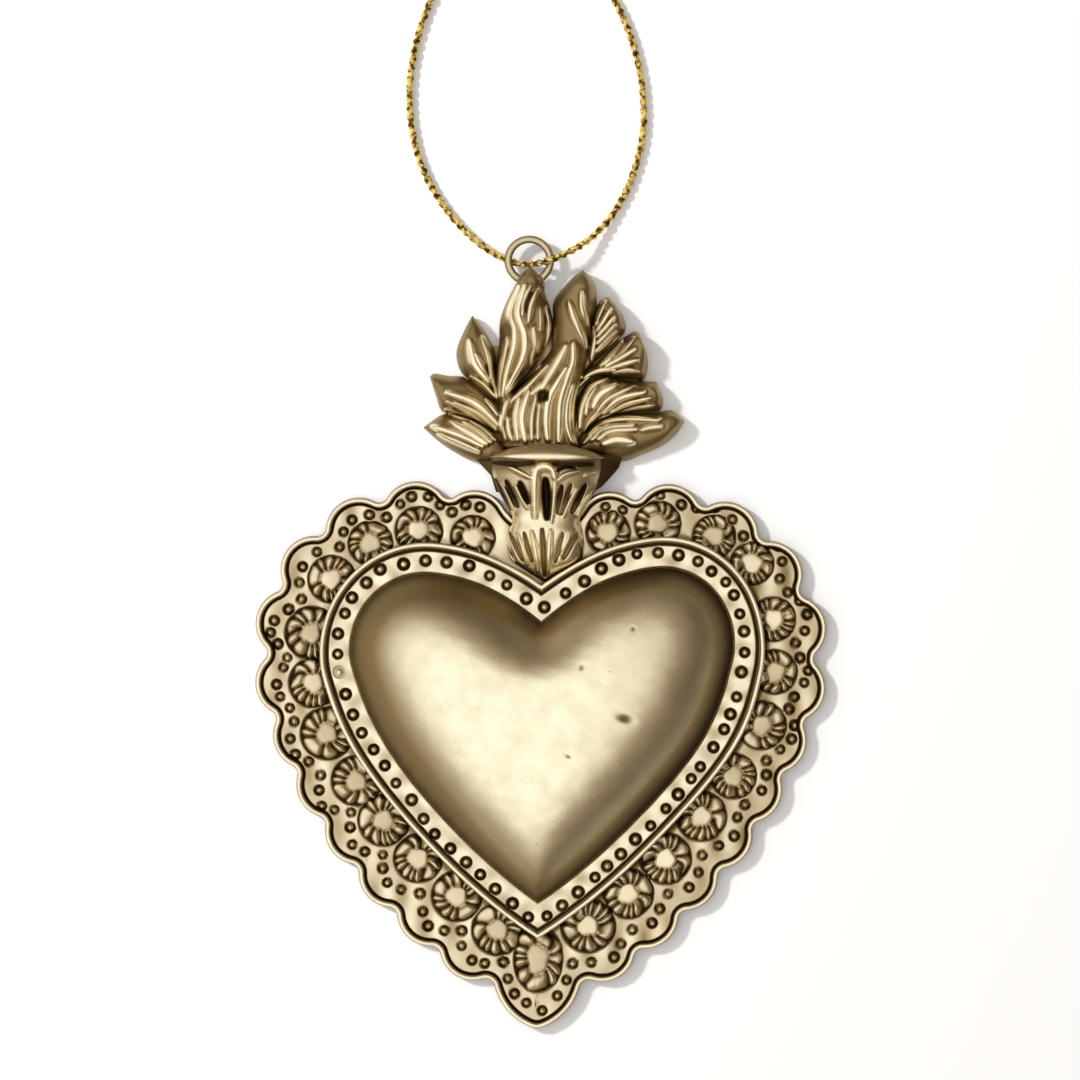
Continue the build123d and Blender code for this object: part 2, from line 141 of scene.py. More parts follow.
CAMERA_HEIGHT = 0.45
VIEW_WIDTH = 0.144
lens = bpy.data.cameras.new("camera")
lens.sensor_width = 36
lens.lens = lens.sensor_width * CAMERA_HEIGHT / VIEW_WIDTH
camera = bpy.data.objects.new("camera", lens)
camera.location = (-0.00028, 0.0133, CAMERA_HEIGHT)
camera.rotation_euler = (0, 0, radians(0.62))
scene.collection.objects.link(camera)
scene.camera = camera
scene.view_settings.view_transform = "Standard"


# The back plate: plain tinplate cut to the scalloped outline, with a tab behind the flame.
# It is lacquered gold like the rest, and the dab of solder behind the ring is bare.
# Every gold piece shares one finish: bright metal, rubbed clean on top and brown in the recesses, with
# painted shade mixed in.
BROWN = (0.034, 0.021, 0.008, 1)
OLIVE = (0.40, 0.29, 0.135, 1)
finish = bpy.data.node_groups.new("aged gold with painted shade", "ShaderNodeTree")
for side, name, kind in (
    ("INPUT", "Gold", "Color"),
    ("INPUT", "Brown for patina and shade", "Color"),
    ("INPUT", "Amount of patina and shade", "Float"),
    ("INPUT", "Roughness", "Float"),
    ("OUTPUT", "Color", "Color"),
    ("OUTPUT", "Roughness", "Float"),
    ("OUTPUT", "Normal", "Vector"),
):
    finish.interface.new_socket(name, in_out=side, socket_type="NodeSocket" + kind)
given = finish.nodes.new("NodeGroupInput")
made = finish.nodes.new("NodeGroupOutput")
where = added(finish, "TexCoord")
cloud = added(finish, "TexNoise", {"Scale": 420, "Detail": 4})
grain = added(finish, "TexNoise", {"Scale": 1500, "Detail": 3})
# Painted shade: ambient occlusion darkens the finish in corners and between touching pieces.
hollow = added(finish, "AmbientOcclusion", {"Distance": 0.0009}, samples=6)
shade = added(finish, "MapRange", {"From Min": 0.75, "From Max": 0.25, "To Max": 0.75})
flecks = added(finish, "MapRange", {"From Min": 0.71, "From Max": 0.8, "To Max": 0.6})
# Darkening from the mesh's values (patina and painted shade), the specks and the occlusion shade.
specks_patina_and_shade = added(finish, "Math", operation="MAXIMUM")
patina_and_painted_shade = added(finish, "Math", operation="MAXIMUM")
patches = added(finish, "MapRange", {"From Min": 0.3, "From Max": 0.7, "To Min": 0.90, "To Max": 1.08})
tone = added(finish, "VectorMath", operation="SCALE")
olive_share = added(finish, "MapRange", {"From Max": 0.6})
olive_tarnish_and_shade = added(finish, "Mix", {"B": OLIVE}, data_type="RGBA")
brown_share = added(finish, "MapRange", {"From Min": 0.5})
brown_patina_and_shade = added(finish, "Mix", data_type="RGBA")
dull = added(finish, "Math", {1: 0.25}, operation="MULTIPLY_ADD")
pits = added(finish, "Bump", {"Strength": 0.12, "Distance": 0.0001})
wired(
    finish,
    (where, "Object", cloud, "Vector"),
    (where, "Object", grain, "Vector"),
    (hollow, "AO", shade, "Value"),
    (grain, "Fac", flecks, "Value"),
    (given, "Amount of patina and shade", specks_patina_and_shade, 0),
    (flecks, "Result", specks_patina_and_shade, 1),
    (shade, "Result", patina_and_painted_shade, 0),
    (specks_patina_and_shade, "Value", patina_and_painted_shade, 1),
    (cloud, "Fac", patches, "Value"),
    (given, "Gold", tone, 0),
    (patches, "Result", tone, "Scale"),
    (patina_and_painted_shade, "Value", olive_share, "Value"),
    (olive_share, "Result", olive_tarnish_and_shade, "Factor"),
    (tone, "Vector", olive_tarnish_and_shade, "A"),
    (patina_and_painted_shade, "Value", brown_share, "Value"),
    (brown_share, "Result", brown_patina_and_shade, "Factor"),
    (olive_tarnish_and_shade, "Result", brown_patina_and_shade, "A"),
    (given, "Brown for patina and shade", brown_patina_and_shade, "B"),
    (patina_and_painted_shade, "Value", dull, 0),
    (given, "Roughness", dull, 2),
    (grain, "Fac", pits, "Height"),
    (brown_patina_and_shade, "Result", made, "Color"),
    (dull, "Value", made, "Roughness"),
    (pits, "Normal", made, "Normal"),
)


def gold_material(name, gold, roughness):
    """Metal with the shared gold finish, its patina and painted shade set by the mesh's own values."""
    material, tree, shader = shaded(name, {"Metallic": 1.0})
    patina_and_shade = added(tree, "Attribute", attribute_name="patina_and_shade")
    tones = {"Gold": (*gold, 1), "Brown for patina and shade": BROWN, "Roughness": roughness}
    aged_and_shaded = added(tree, "Group", tones, node_tree=finish)
    wired(
        tree,
        (patina_and_shade, "Fac", aged_and_shaded, "Amount of patina and shade"),
        (aged_and_shaded, "Color", shader, "Base Color"),
        (aged_and_shaded, "Roughness", shader, "Roughness"),
        (aged_and_shaded, "Normal", shader, "Normal"),
    )
    return material


back_gold = gold_material("back gold", (0.70, 0.58, 0.36), 0.45)
solder = shaded("solder", {"Base Color": (0.42, 0.39, 0.34, 1), "Metallic": 1.0, "Roughness": 0.5})[0]
for node, coat in (("back_plate", back_gold), ("ring_solder", solder)):
    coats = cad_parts[node].data.materials
    coats.clear()
    coats.append(coat)


# The scalloped border: embossed tinplate whose edge is a string of scallops, soldered to the plate.
# A punched dot is a ring pressed into the sheet with a bead left standing in its middle.
# The lines of the heart and of the scallops are arcs that touch each other.
def crossing(one, one_radius, other, other_radius, side):
    """Where two circles cross, left (1) or right (-1) of the way from one to the other."""
    way = other - one
    gap = np.hypot(way[..., 0], way[..., 1])
    along = (one_radius**2 - other_radius**2 + gap**2) / (2 * gap)
    across = np.sqrt(one_radius**2 - along**2) * side
    unit = way / gap[..., None]
    left = np.stack([-unit[..., 1], unit[..., 0]], axis=-1)
    return one + unit * along[..., None] + left * across[..., None]


def bell(gap, reach, power=4):
    """A smooth bump that is 1 where a gap is nothing and falls to 0 past its reach."""
    return np.exp(-((np.abs(gap) / reach) ** power))


def direction(way):
    """Angle of a vector in the plane of the sheet."""
    return np.arctan2(way[..., 1], way[..., 0])


HEART_RADII = np.array([27.0, 9.3, 66.0])
HEART_LOBE = np.array([15.7, 0.0])
HEART_CLEFT = np.array([0, 2.9])
HEART_TIP = np.array([0, -34.7])
RIGHT_FULLNESS = 0.09
LEFT_FULLNESS = 0.045
FLANK_Y = -14.0
FLANK_REACH = 11.0
LOBE_LEAN = 0.035
CLEFT_DROP = 0.65
CLEFT_REACH = 7.0
cleft_centre = crossing(HEART_CLEFT, HEART_RADII[0], HEART_LOBE, HEART_RADII[0] - HEART_RADII[1], -1)
side_centre = crossing(HEART_TIP, HEART_RADII[2], HEART_LOBE, HEART_RADII[2] - HEART_RADII[1], 1)
heart_centres = np.array([cleft_centre, HEART_LOBE, side_centre])
shoulder = direction(HEART_LOBE - cleft_centre)
flank = direction(HEART_LOBE - side_centre)
cleft_turn = np.arccos(-cleft_centre[0] / HEART_RADII[0])
tip_turn = -np.arccos(-side_centre[0] / HEART_RADII[2])
arc_lengths = HEART_RADII * np.array([cleft_turn - shoulder, shoulder - flank, flank - tip_turn])
arc_stops = np.concatenate([[0], np.cumsum(arc_lengths) / arc_lengths.sum()])


def heart_at(way, grow):
    """Points of a heart line, a chain of three arcs for each half. Way goes from 0 at the cleft
    over the right half to 1 at the tip and back to 2; grow is the distance outside the window.
    The right lobe stands a little higher than the left one, and the right flank is fuller."""
    way, grow = np.broadcast_arrays(np.mod(way, 2.0), grow)
    side = np.where(way > 1, -1.0, 1.0)
    half = np.where(way > 1, 2 - way, way)
    arc = np.clip(np.searchsorted(arc_stops, half, side="right") - 1, 0, 2)
    first = np.arccos(-cleft_centre[0] / (HEART_RADII[0] + grow))
    last = -np.arccos(-side_centre[0] / (HEART_RADII[2] + grow))
    begin = np.choose(arc, [first, shoulder, flank])
    end = np.choose(arc, [shoulder, flank, last])
    share = (half - arc_stops[arc]) / (arc_stops[arc + 1] - arc_stops[arc])
    turn = begin + share * (end - begin)
    reach = HEART_RADII[arc] + grow
    x = heart_centres[arc, 0] + reach * np.cos(turn)
    y = heart_centres[arc, 1] + reach * np.sin(turn)
    x *= side
    fullness = np.where(side > 0, RIGHT_FULLNESS, LEFT_FULLNESS)
    fullness = fullness * bell(y - FLANK_Y, FLANK_REACH, 2)
    lean = LOBE_LEAN * x * np.clip((y + 30) / 30, 0, 1)
    drop = CLEFT_DROP * bell(x, CLEFT_REACH, 2) * np.clip((y + 10) / 10, 0, 1)
    return np.stack([x * (1 + fullness), y + lean - drop], axis=-1)


def even_heart_ways(grow, first, count):
    """Ways of points evenly spaced along the right half of a heart line, from a distance past the
    cleft to the tip."""
    ways = np.linspace(0, 1, 4001)
    steps = np.diff(heart_at(ways, grow), axis=0)
    run = np.concatenate([[0], np.cumsum(np.hypot(steps[:, 0], steps[:, 1]))])
    return np.interp(np.linspace(first, run[-1], count), run, ways)


SCALLOPS_PER_SIDE = 12
SCALLOP_RADIUS = 4.5
SCALLOP_INSET = 2.1
FIRST_SCALLOP_X = 9.0
LAST_SCALLOP_GAP = 8.6
NOTCH_RADIUS = 1.2
CLEFT_NOTCH_RADIUS = 6.0
TIP_ROUND_RADIUS = 2.2
TIP_SIDE = np.array([-2.1, 2.0])
TIP_ROUND_DROP = 3.5
BORDER_LOBE_RADIUS = 18.5
BORDER_SIDE_RADIUS = 64.6
border_lobe = np.array([15.4, -2.0])
border_tip = np.array([0, -46.0])
border_side = crossing(
    border_tip, BORDER_SIDE_RADIUS, border_lobe, BORDER_SIDE_RADIUS - BORDER_LOBE_RADIUS, 1
)
lobe_reach = BORDER_LOBE_RADIUS - SCALLOP_INSET
side_reach = BORDER_SIDE_RADIUS - SCALLOP_INSET
first_across = (FIRST_SCALLOP_X - border_lobe[0]) * lobe_reach / BORDER_LOBE_RADIUS
first_turn = np.arctan2(np.sqrt(lobe_reach**2 - first_across**2), first_across)
border_flank = direction(border_lobe - border_side)
lobe_run = lobe_reach * (first_turn - border_flank)
side_run = side_reach * (border_flank + np.arccos(-border_side[0] / side_reach))
scallop_runs = np.linspace(0, lobe_run + side_run - LAST_SCALLOP_GAP, SCALLOPS_PER_SIDE)
on_lobe = scallop_runs < lobe_run
lobe_turns = first_turn - scallop_runs / lobe_reach
side_turns = border_flank - (scallop_runs - lobe_run) / side_reach
scallop_turns = np.where(on_lobe, lobe_turns, side_turns)
scallop_ways = np.stack([np.cos(scallop_turns), np.sin(scallop_turns)], axis=-1)
tip_side = border_tip + TIP_SIDE
tip_radius = TIP_ROUND_RADIUS + np.hypot(TIP_SIDE[0], TIP_SIDE[1] + TIP_ROUND_DROP)
right_scallops = np.where(
    on_lobe[:, None],
    border_lobe + BORDER_LOBE_RADIUS * scallop_ways,
    border_side + BORDER_SIDE_RADIUS * scallop_ways,
)
right_scallops = np.concatenate([right_scallops, [tip_side]])
half_radii = np.append(np.full(SCALLOPS_PER_SIDE, SCALLOP_RADIUS), tip_radius)
scallops = np.concatenate([right_scallops, right_scallops[::-1] * [-1, 1]])
scallop_radii = np.concatenate([half_radii, half_radii[::-1]])
# Radius of the rounding after each scallop; the round end of the tip bends the other way.
side_notches = np.full(SCALLOPS_PER_SIDE, NOTCH_RADIUS)
notch_radii = np.concatenate([side_notches, [-TIP_ROUND_RADIUS], side_notches, [CLEFT_NOTCH_RADIUS]])
next_scallops = np.roll(scallops, -1, axis=0)
next_radii = np.roll(scallop_radii, -1)
notches = crossing(
    scallops, scallop_radii + notch_radii, next_scallops, next_radii + notch_radii, np.sign(notch_radii)
)
edge_centres = np.stack([scallops, notches], axis=1).reshape(-1, 2)
edge_radii = np.stack([scallop_radii, notch_radii], axis=1).ravel()
scallop_begin = direction(np.roll(notches, 1, axis=0) - scallops)
scallop_sweep = -np.mod(scallop_begin - direction(notches - scallops), 2 * np.pi)
notch_begin = direction(scallops - notches)
notch_sweep = np.mod(direction(next_scallops - notches) - notch_begin + np.pi, 2 * np.pi) - np.pi
edge_begin = np.stack([scallop_begin, notch_begin], axis=1).ravel()
edge_sweep = np.stack([scallop_sweep, notch_sweep], axis=1).ravel()
edge_sign = np.tile([1.0, -1.0], len(scallops))


def scallop_at(way, grow):
    """Points of the scalloped edge, an arc round each scallop and one round each notch between.
    Way counts the arcs from the first scallop right of the cleft; grow is the distance outside."""
    way, grow = np.broadcast_arrays(np.mod(way, len(edge_radii)), grow)
    arc = way.astype(int)
    turn = edge_begin[arc] + (way - arc) * edge_sweep[arc]
    reach = edge_radii[arc] + edge_sign[arc] * grow
    return edge_centres[arc] + reach[..., None] * np.stack([np.cos(turn), np.sin(turn)], axis=-1)


def even_edge_ways(count, grow):
    """Ways that divide the scalloped edge, at a distance outside it, into steps of one length."""
    lengths = np.abs((edge_radii + edge_sign * grow) * edge_sweep)
    run = np.concatenate([[0], np.cumsum(lengths)])
    return np.interp(np.linspace(0, run[-1], count, endpoint=False), run, np.arange(len(run)))[:, None]


def shells(name, points, joined, patina_and_shade, material, body):
    """A piece made of closed shells over grids of points in millimetres, shaped shells, rows,
    columns and xyz. Columns run round and close; rows are joined end to end or capped."""
    count, rows, columns = points.shape[:3]
    index = np.arange(count * rows * columns).reshape(count, rows, columns)
    ring = np.concatenate([index, index[:, :, :1]], axis=2)
    if joined:
        ring = np.concatenate([ring, ring[:, :1]], axis=1)
    corners = [ring[:, :-1, :-1], ring[:, 1:, :-1], ring[:, 1:, 1:], ring[:, :-1, 1:]]
    quads = np.stack(corners, axis=-1).reshape(count, -1, 4)
    flat = points.reshape(-1, 3) * 0.001
    middle = (points - points.mean(axis=(1, 2), keepdims=True)).reshape(-1, 3)
    spread = np.cross(
        middle[quads[..., 1]] - middle[quads[..., 3]], middle[quads[..., 2]] - middle[quads[..., 0]]
    )
    inside_out = (spread * middle[quads[..., 0]]).sum(axis=(1, 2)) < 0
    quads[inside_out] = quads[inside_out][..., ::-1]
    faces = quads.reshape(-1, 4).tolist()
    if not joined:
        caps = np.stack([index[:, 0], index[:, -1, ::-1]], axis=1)
        caps[inside_out] = caps[inside_out][..., ::-1]
        faces += caps.reshape(-1, columns).tolist()
    mesh = bpy.data.meshes.new(name)
    mesh.from_pydata(flat.tolist(), [], faces)
    mesh.shade_smooth()
    values = np.broadcast_to(patina_and_shade, points.shape[:3]).ravel().astype(np.float32)
    mesh.attributes.new("patina_and_shade", "FLOAT", "POINT").data.foreach_set("value", values)
    mesh.materials.append(material)
    piece = bpy.data.objects.new(name, mesh)
    scene.collection.objects.link(piece)
    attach(piece, body)
    return piece


def nearest(points, spots):
    """Distance from each point to the nearest spot, and which spot that is."""
    away = points[..., None, :] - spots
    gaps = np.hypot(away[..., 0], away[..., 1])
    return gaps.min(axis=-1), gaps.argmin(axis=-1)


def punched(points, spots, sizes, force):
    """Height and groove patina of punched dots: a bell-shaped bead in a round groove, struck with a
    force.
    """
    gap, which = nearest(points, spots)
    far = gap / sizes[which]
    bead = bell(far, 0.44)
    groove = bell(far - 0.75, 0.25)
    height = force[which] * (0.42 * bead - 0.5 * groove) * sizes[which]
    return height, np.clip(1.3 * force[which] * groove, 0, 1)


def uneven(points, size, seed):
    """Gentle waviness of hand-pressed sheet: a sum of four sine waves of about that size."""
    chance = np.random.default_rng(seed)
    turns = chance.uniform(0, 2 * np.pi, (2, 4))
    waves = points[..., 0, None] * np.cos(turns[0]) + points[..., 1, None] * np.sin(turns[0])
    return np.sin(waves * 2 * np.pi / size + turns[1]).mean(axis=-1)


def raised(plan, height):
    """Points in space, from points in the plane of the sheet and their heights."""
    height = np.broadcast_to(height, plan.shape[:-1])
    return np.concatenate([plan, height[..., None]], axis=-1)


def closed_below(sheet, patina_and_shade, bottom):
    """Grids of the points and patina-and-shade values of a sheet whose edges are joined by a flat
    underside.
    """
    under = sheet[:, [-1, 0]].copy()
    under[..., 2] = bottom
    points = np.concatenate([sheet, under], axis=1)
    return points[None], np.concatenate([patina_and_shade, np.zeros((len(patina_and_shade), 2))], axis=1)[None]


PLATE_TOP = 0.5
BORDER_TOP = 1.1
BAND_EDGE = 4.0
EDGE_STEPS = 1400
RIM_ROWS = 24
SHEET_ROWS = 38
FIRST_SPOKE = 8.9
TIP_ROSETTE = 12
TIP_STRETCH = 1.4
chance = np.random.default_rng(7)
BORDER_DOTS = [
    (-8.3, 17.6), (-10.2, 17.9), (-12, 16.9), (-13.6, 17.8), (-15.2, 18.9), (-17.4, 18.9),
    (-18.9, 17.9), (-20.7, 16.1), (-23, 16.4), (-25.3, 15.7), (-26.4, 14.1), (-26.9, 12.1),
    (-29.9, 11.4), (-31.8, 9.4), (-32.2, 7.3), (-31.9, 5.1), (-33.6, 3.7), (-35.5, 2.2), (-36, 0.6),
    (-35, -0.9), (-33.7, -2.7), (-34.2, -4), (-35.1, -6.3), (-34.6, -7.9), (-33.3, -9.4),
    (-32.7, -11.2), (-33.2, -13.5), (-32.5, -15.6), (-30.7, -16.5), (-29.1, -18.3), (-29.3, -20.3),
    (-28.9, -22.4), (-27.2, -22.9), (-25, -23.2), (-25.1, -25.2), (-24.8, -27.5), (-23.1, -28.4),
    (-20.7, -28.8), (-20.7, -30.6), (-20.1, -32.5), (-18.2, -33.4), (-15.7, -33.9), (-15.3, -36.3),
    (-14.6, -38.2), (-12.4, -38.8), (-10.1, -38.8), (-10.1, -40.8), (-8.7, -42.7), (-7, -43.1),
    (-4.5, -42.9), (-3.9, -45.1), (-3, -47.1), (-1.4, -48.3), (0.7, -49.3), (2.7, -47.3), (3.9, -45.2),
    (4.7, -43), (7.2, -42.8), (10.2, -42.1), (11.1, -40.3), (12.6, -38.4), (15.2, -37.5), (16.2, -35.6),
    (17.3, -33.6), (20.1, -32.7), (21.3, -30.7), (21.8, -28.4), (24, -27.1), (26, -25.8), (26.4, -23.3),
    (27.4, -21.6), (29.6, -19.7), (30.2, -17.6), (30.2, -15.7), (32, -14.2), (33.5, -12.8), (33.9, -11),
    (33.1, -8.8), (33.8, -7.2), (35.1, -5.3), (35.6, -3.7), (34.5, -2), (33.9, 0), (35.1, 1.6),
    (35.4, 3.8), (34.4, 5.6), (32.8, 6.7), (31.7, 8.5), (32, 10.8), (31.4, 12.8), (29.4, 14),
    (26.8, 14.1), (25.3, 16.3), (23, 17.9), (20.5, 17.8), (18.5, 18.2), (15.7, 19.4), (13.3, 18.8),
    (10.7, 17.4), (8.4, 17.8),
]
border_dots = np.array(BORDER_DOTS)
border_dot_sizes = chance.uniform(0.66, 0.78, len(border_dots))
border_dot_force = chance.uniform(0.8, 1.1, len(border_dots))
ROSETTES = [
    (-9.2, 13.5, 3), (-16.4, 14.4, 3.2), (-22.8, 12.6, 3), (-27.9, 7.8, 3.2), (-30.5, 0.6, 3.6),
    (-30.1, -6, 3.4), (-28.3, -12.7, 3.6), (-24.3, -19, 3.4), (-20.6, -24.2, 3.5), (-16, -29.2, 3.3),
    (-10.8, -34.2, 3.4), (-5.3, -38.6, 3.5), (0.1, -42.4, 3.3), (6.7, -37.9, 3.7), (12, -33.6, 3.4),
    (16.9, -28.9, 3.5), (21.6, -23.2, 3.4), (25.8, -17.8, 3.1), (29.5, -11, 3.3), (31.2, -3.9, 3),
    (30.9, 3.1, 3), (28, 10.5, 2.9), (22.9, 14, 2.9), (15.4, 15.6, 3.1), (8.8, 14.4, 3),
]
rosettes = np.array(ROSETTES)[:, :2]
rosette_sizes = np.array(ROSETTES)[:, 2]

half_ways = even_heart_ways(BAND_EDGE + 2.4, FIRST_SPOKE, SCALLOPS_PER_SIDE + 1)
spoke_ways = np.concatenate([half_ways, 2 - half_ways[-2::-1]])
edge_way = even_edge_ways(EDGE_STEPS, -1.8)
right_knots = np.arange(SCALLOPS_PER_SIDE) * 2 + 0.5
tip_knot = len(scallops) - 0.5
left_knots = 2 * tip_knot - right_knots[::-1]
edge_knots = np.concatenate([[-1.5], right_knots, [tip_knot], left_knots, [len(edge_radii) + 0.5]])
heart_stops = np.concatenate([[spoke_ways[-1] - 2], spoke_ways, [spoke_ways[0] + 2]])
edge_heart_way = np.interp(edge_way, edge_knots, heart_stops)
inset = np.linspace(0.75, 3.15, RIM_ROWS)
near_edge = scallop_at(edge_way, -inset)
blend = np.linspace(0, 1, SHEET_ROWS + 1)[1:, None]
band_foot = heart_at(edge_heart_way, BAND_EDGE - 0.5)
to_band = near_edge[:, -1:] * (1 - blend) + band_foot * blend
outward = near_edge[:, -1] - band_foot[:, 0]
span = np.hypot(outward[:, 0], outward[:, 1])
# Painted shadow: a dark strip along the foot of the band, stronger on its right and lower sides.
painted_ridge_shadow = bell((1 - blend[:, 0]) * span[:, None] - 0.5, 1.2)
painted_ridge_shadow *= np.clip(0.65 + 0.35 * (outward @ [0.8, -0.6]) / span, 0, 1)[:, None]
sheet_points = np.concatenate([near_edge, to_band], axis=1)
relief, patina_and_shade = punched(sheet_points, border_dots, border_dot_sizes, border_dot_force)
gully = np.zeros(RIM_ROWS + SHEET_ROWS)
gully[:RIM_ROWS] = bell(inset - 0.88, 0.17)
relief -= 0.3 * gully
from_rosettes = sheet_points[:, :, None] - rosettes
from_rosettes[:, :, TIP_ROSETTE, 1] /= TIP_STRETCH
rosette_gap = (np.hypot(from_rosettes[..., 0], from_rosettes[..., 1]) - rosette_sizes).min(axis=-1)
bed = np.clip(0.4 - rosette_gap / 0.25, 0, 1)
dot_gap, dot_which = nearest(sheet_points, border_dots)
bed[dot_gap < 1.15 * border_dot_sizes[dot_which]] = 0
relief += 0.07 * uneven(sheet_points, 3.0, 3) - 0.35 * bed
# Random tone of worn sheet, with painted shade making the right side darker.
wear_and_right_shade = 0.24 + 0.12 * np.clip(sheet_points[..., 0] / 25, 0, 1) + 0.3 * uneven(sheet_points, 3.6, 4)
patina_and_shade = np.maximum(np.maximum(patina_and_shade, 0.95 * gully), np.maximum(bed, wear_and_right_shade))
patina_and_shade[:, RIM_ROWS:] = np.maximum(patina_and_shade[:, RIM_ROWS:], painted_ridge_shadow)
sheet = raised(sheet_points, np.maximum(BORDER_TOP + relief, PLATE_TOP + 0.05))
sheet, patina_and_shade = closed_below(sheet, patina_and_shade, PLATE_TOP)
border_gold = gold_material("border gold", (0.97, 0.85, 0.59), 0.32)
border = shells("border_sheet", sheet, True, patina_and_shade, border_gold, "ornament")
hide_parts("scalloped_border")


# Rosettes: flowers stamped in the same sheet, one for each scallop, partly under the band.
# Each has a smooth boss, a ring of leaf-shaped petals with cut edges, and a groove round it.
def around(count):
    """Angles that divide a full turn evenly."""
    return np.linspace(0, 2 * np.pi, count, endpoint=False)


HEART_MIDDLE = np.array([0.0, -8.0])
BOSS_RADIUS = 1.58
FLOWER_FOOT = BORDER_TOP - 0.3
petal_turn = around(144)
petal_share = np.concatenate([np.linspace(0.015, 1.0, 25), [1.02]])
flower_count = len(rosettes)
start_turn = direction(rosettes - HEART_MIDDLE)[:, None, None]
petals = chance.integers(11, 14, flower_count)[:, None, None]
share, turn = np.meshgrid(petal_share, petal_turn, indexing="ij")
flower_size = rosette_sizes[:, None, None]
reach = share * flower_size
phase = chance.uniform(0, 2 * np.pi, (3, flower_count, 1, 1))
boss_size = BOSS_RADIUS * (1 + 0.06 * np.cos(3 * turn + phase[0]) + 0.04 * np.cos(5 * turn + phase[1]))
boss = np.clip(1 - (reach / boss_size) ** 4, 0, 1) ** 0.5
petal_foot = 0.95 * boss_size
outwards = np.clip((reach - petal_foot) / (flower_size - petal_foot), 0, 1)
swirl = 0.3 * outwards * np.sin(turn + phase[2]) + 0.2 * np.sin(2 * turn + phase[0])
spin = (turn - swirl + 0.1 * np.sin(5 * turn + phase[1])) * petals / (2 * np.pi) + phase[2]
leaf = np.clip(1.5 * (1 - outwards**3), 0.02, 1)
fold = (spin % 1 - 0.5) * 2
across = np.abs(fold) / leaf
length = 0.95 + 0.05 * np.sin(7.0 * np.floor(spin) + phase[1])
along = np.sin(np.pi * np.clip(outwards / length, 0, 1) ** 0.8) ** 0.4
petal = np.clip(1 - across**2, 0, 1) ** 0.6 * along
tilt = 0.12 * reach * np.cos(turn + phase[0])
petal_height = 0.8 + 0.15 * np.sin(5.0 * np.floor(spin) + phase[0]) - 0.25 * fold
flower = np.maximum((0.7 + tilt) * boss, petal_height * petal)
boss_recess = 0.2 + 0.12 * np.sin(3 * phase[1])
# Painted shade: each petal darker on one side of its fold and towards the boss, and the gaps dark.
petal_painted_shade = 0.3 * (1 - outwards) + 0.5 * np.clip(fold, 0, 1)
flower_patina_and_shade = np.clip(1.6 - 2.1 * np.maximum(boss, petal), 0, 1)
flower_patina_and_shade = np.maximum(flower_patina_and_shade, np.where(boss > 0.3, boss_recess, petal_painted_shade))
lean = turn + start_turn
at_tip = (np.arange(flower_count) == TIP_ROSETTE)[:, None, None]
tall = 1 + (TIP_STRETCH - 1) * at_tip * np.sin(lean) ** 2
flower_points = np.stack(
    [
        rosettes[:, 0, None, None] + reach * tall * np.cos(lean),
        rosettes[:, 1, None, None] + reach * tall * np.sin(lean),
        FLOWER_FOOT + flower,
    ],
    axis=-1,
)
dot_gap, dot_which = nearest(flower_points[..., :2], border_dots)
flower_points[dot_gap < 1.05 * border_dot_sizes[dot_which], 2] = PLATE_TOP
flower_points[:, -1, :, 2] = PLATE_TOP
rosette_gold = gold_material("rosette gold", (0.96, 0.84, 0.58), 0.32)
shells("rosettes", flower_points, False, flower_patina_and_shade, rosette_gold, "ornament")


# The edge wire: a rounded wire bent along the scallops and soldered to the plate's edge.
# Its crest is rubbed bright; its outer side is darkened with painted shade, and the inner one slopes
# into a dark groove.
RIM_PROFILE = np.array(
    [
        (-0.10, 0.52), (0.0, 0.6), (-0.02, 1.0), (-0.08, 1.4), (-0.2, 1.66), (-0.55, 1.7),
        (-0.68, 1.52), (-0.76, 1.15), (-0.86, 0.9), (-1.1, 0.9), (-1.1, 0.52),
    ]
)
RIM_PATINA_AND_SHADE = np.array([1, 1, 1, 0.7, 0, 0, 0.3, 1, 1, 1, 1])
rim_way = even_edge_ways(1600, -0.5)
rim_line = scallop_at(rim_way, RIM_PROFILE[:, 0])
rim_height = np.maximum(RIM_PROFILE[:, 1] + 0.05 * uneven(rim_line, 5.0, 5), PLATE_TOP)
wire_gold = gold_material("wire gold", (0.98, 0.87, 0.62), 0.28)
rim_points = raised(rim_line, rim_height)
rim = shells("edge_rim", rim_points[None], True, RIM_PATINA_AND_SHADE, wire_gold, "ornament")
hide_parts("edge_wire")


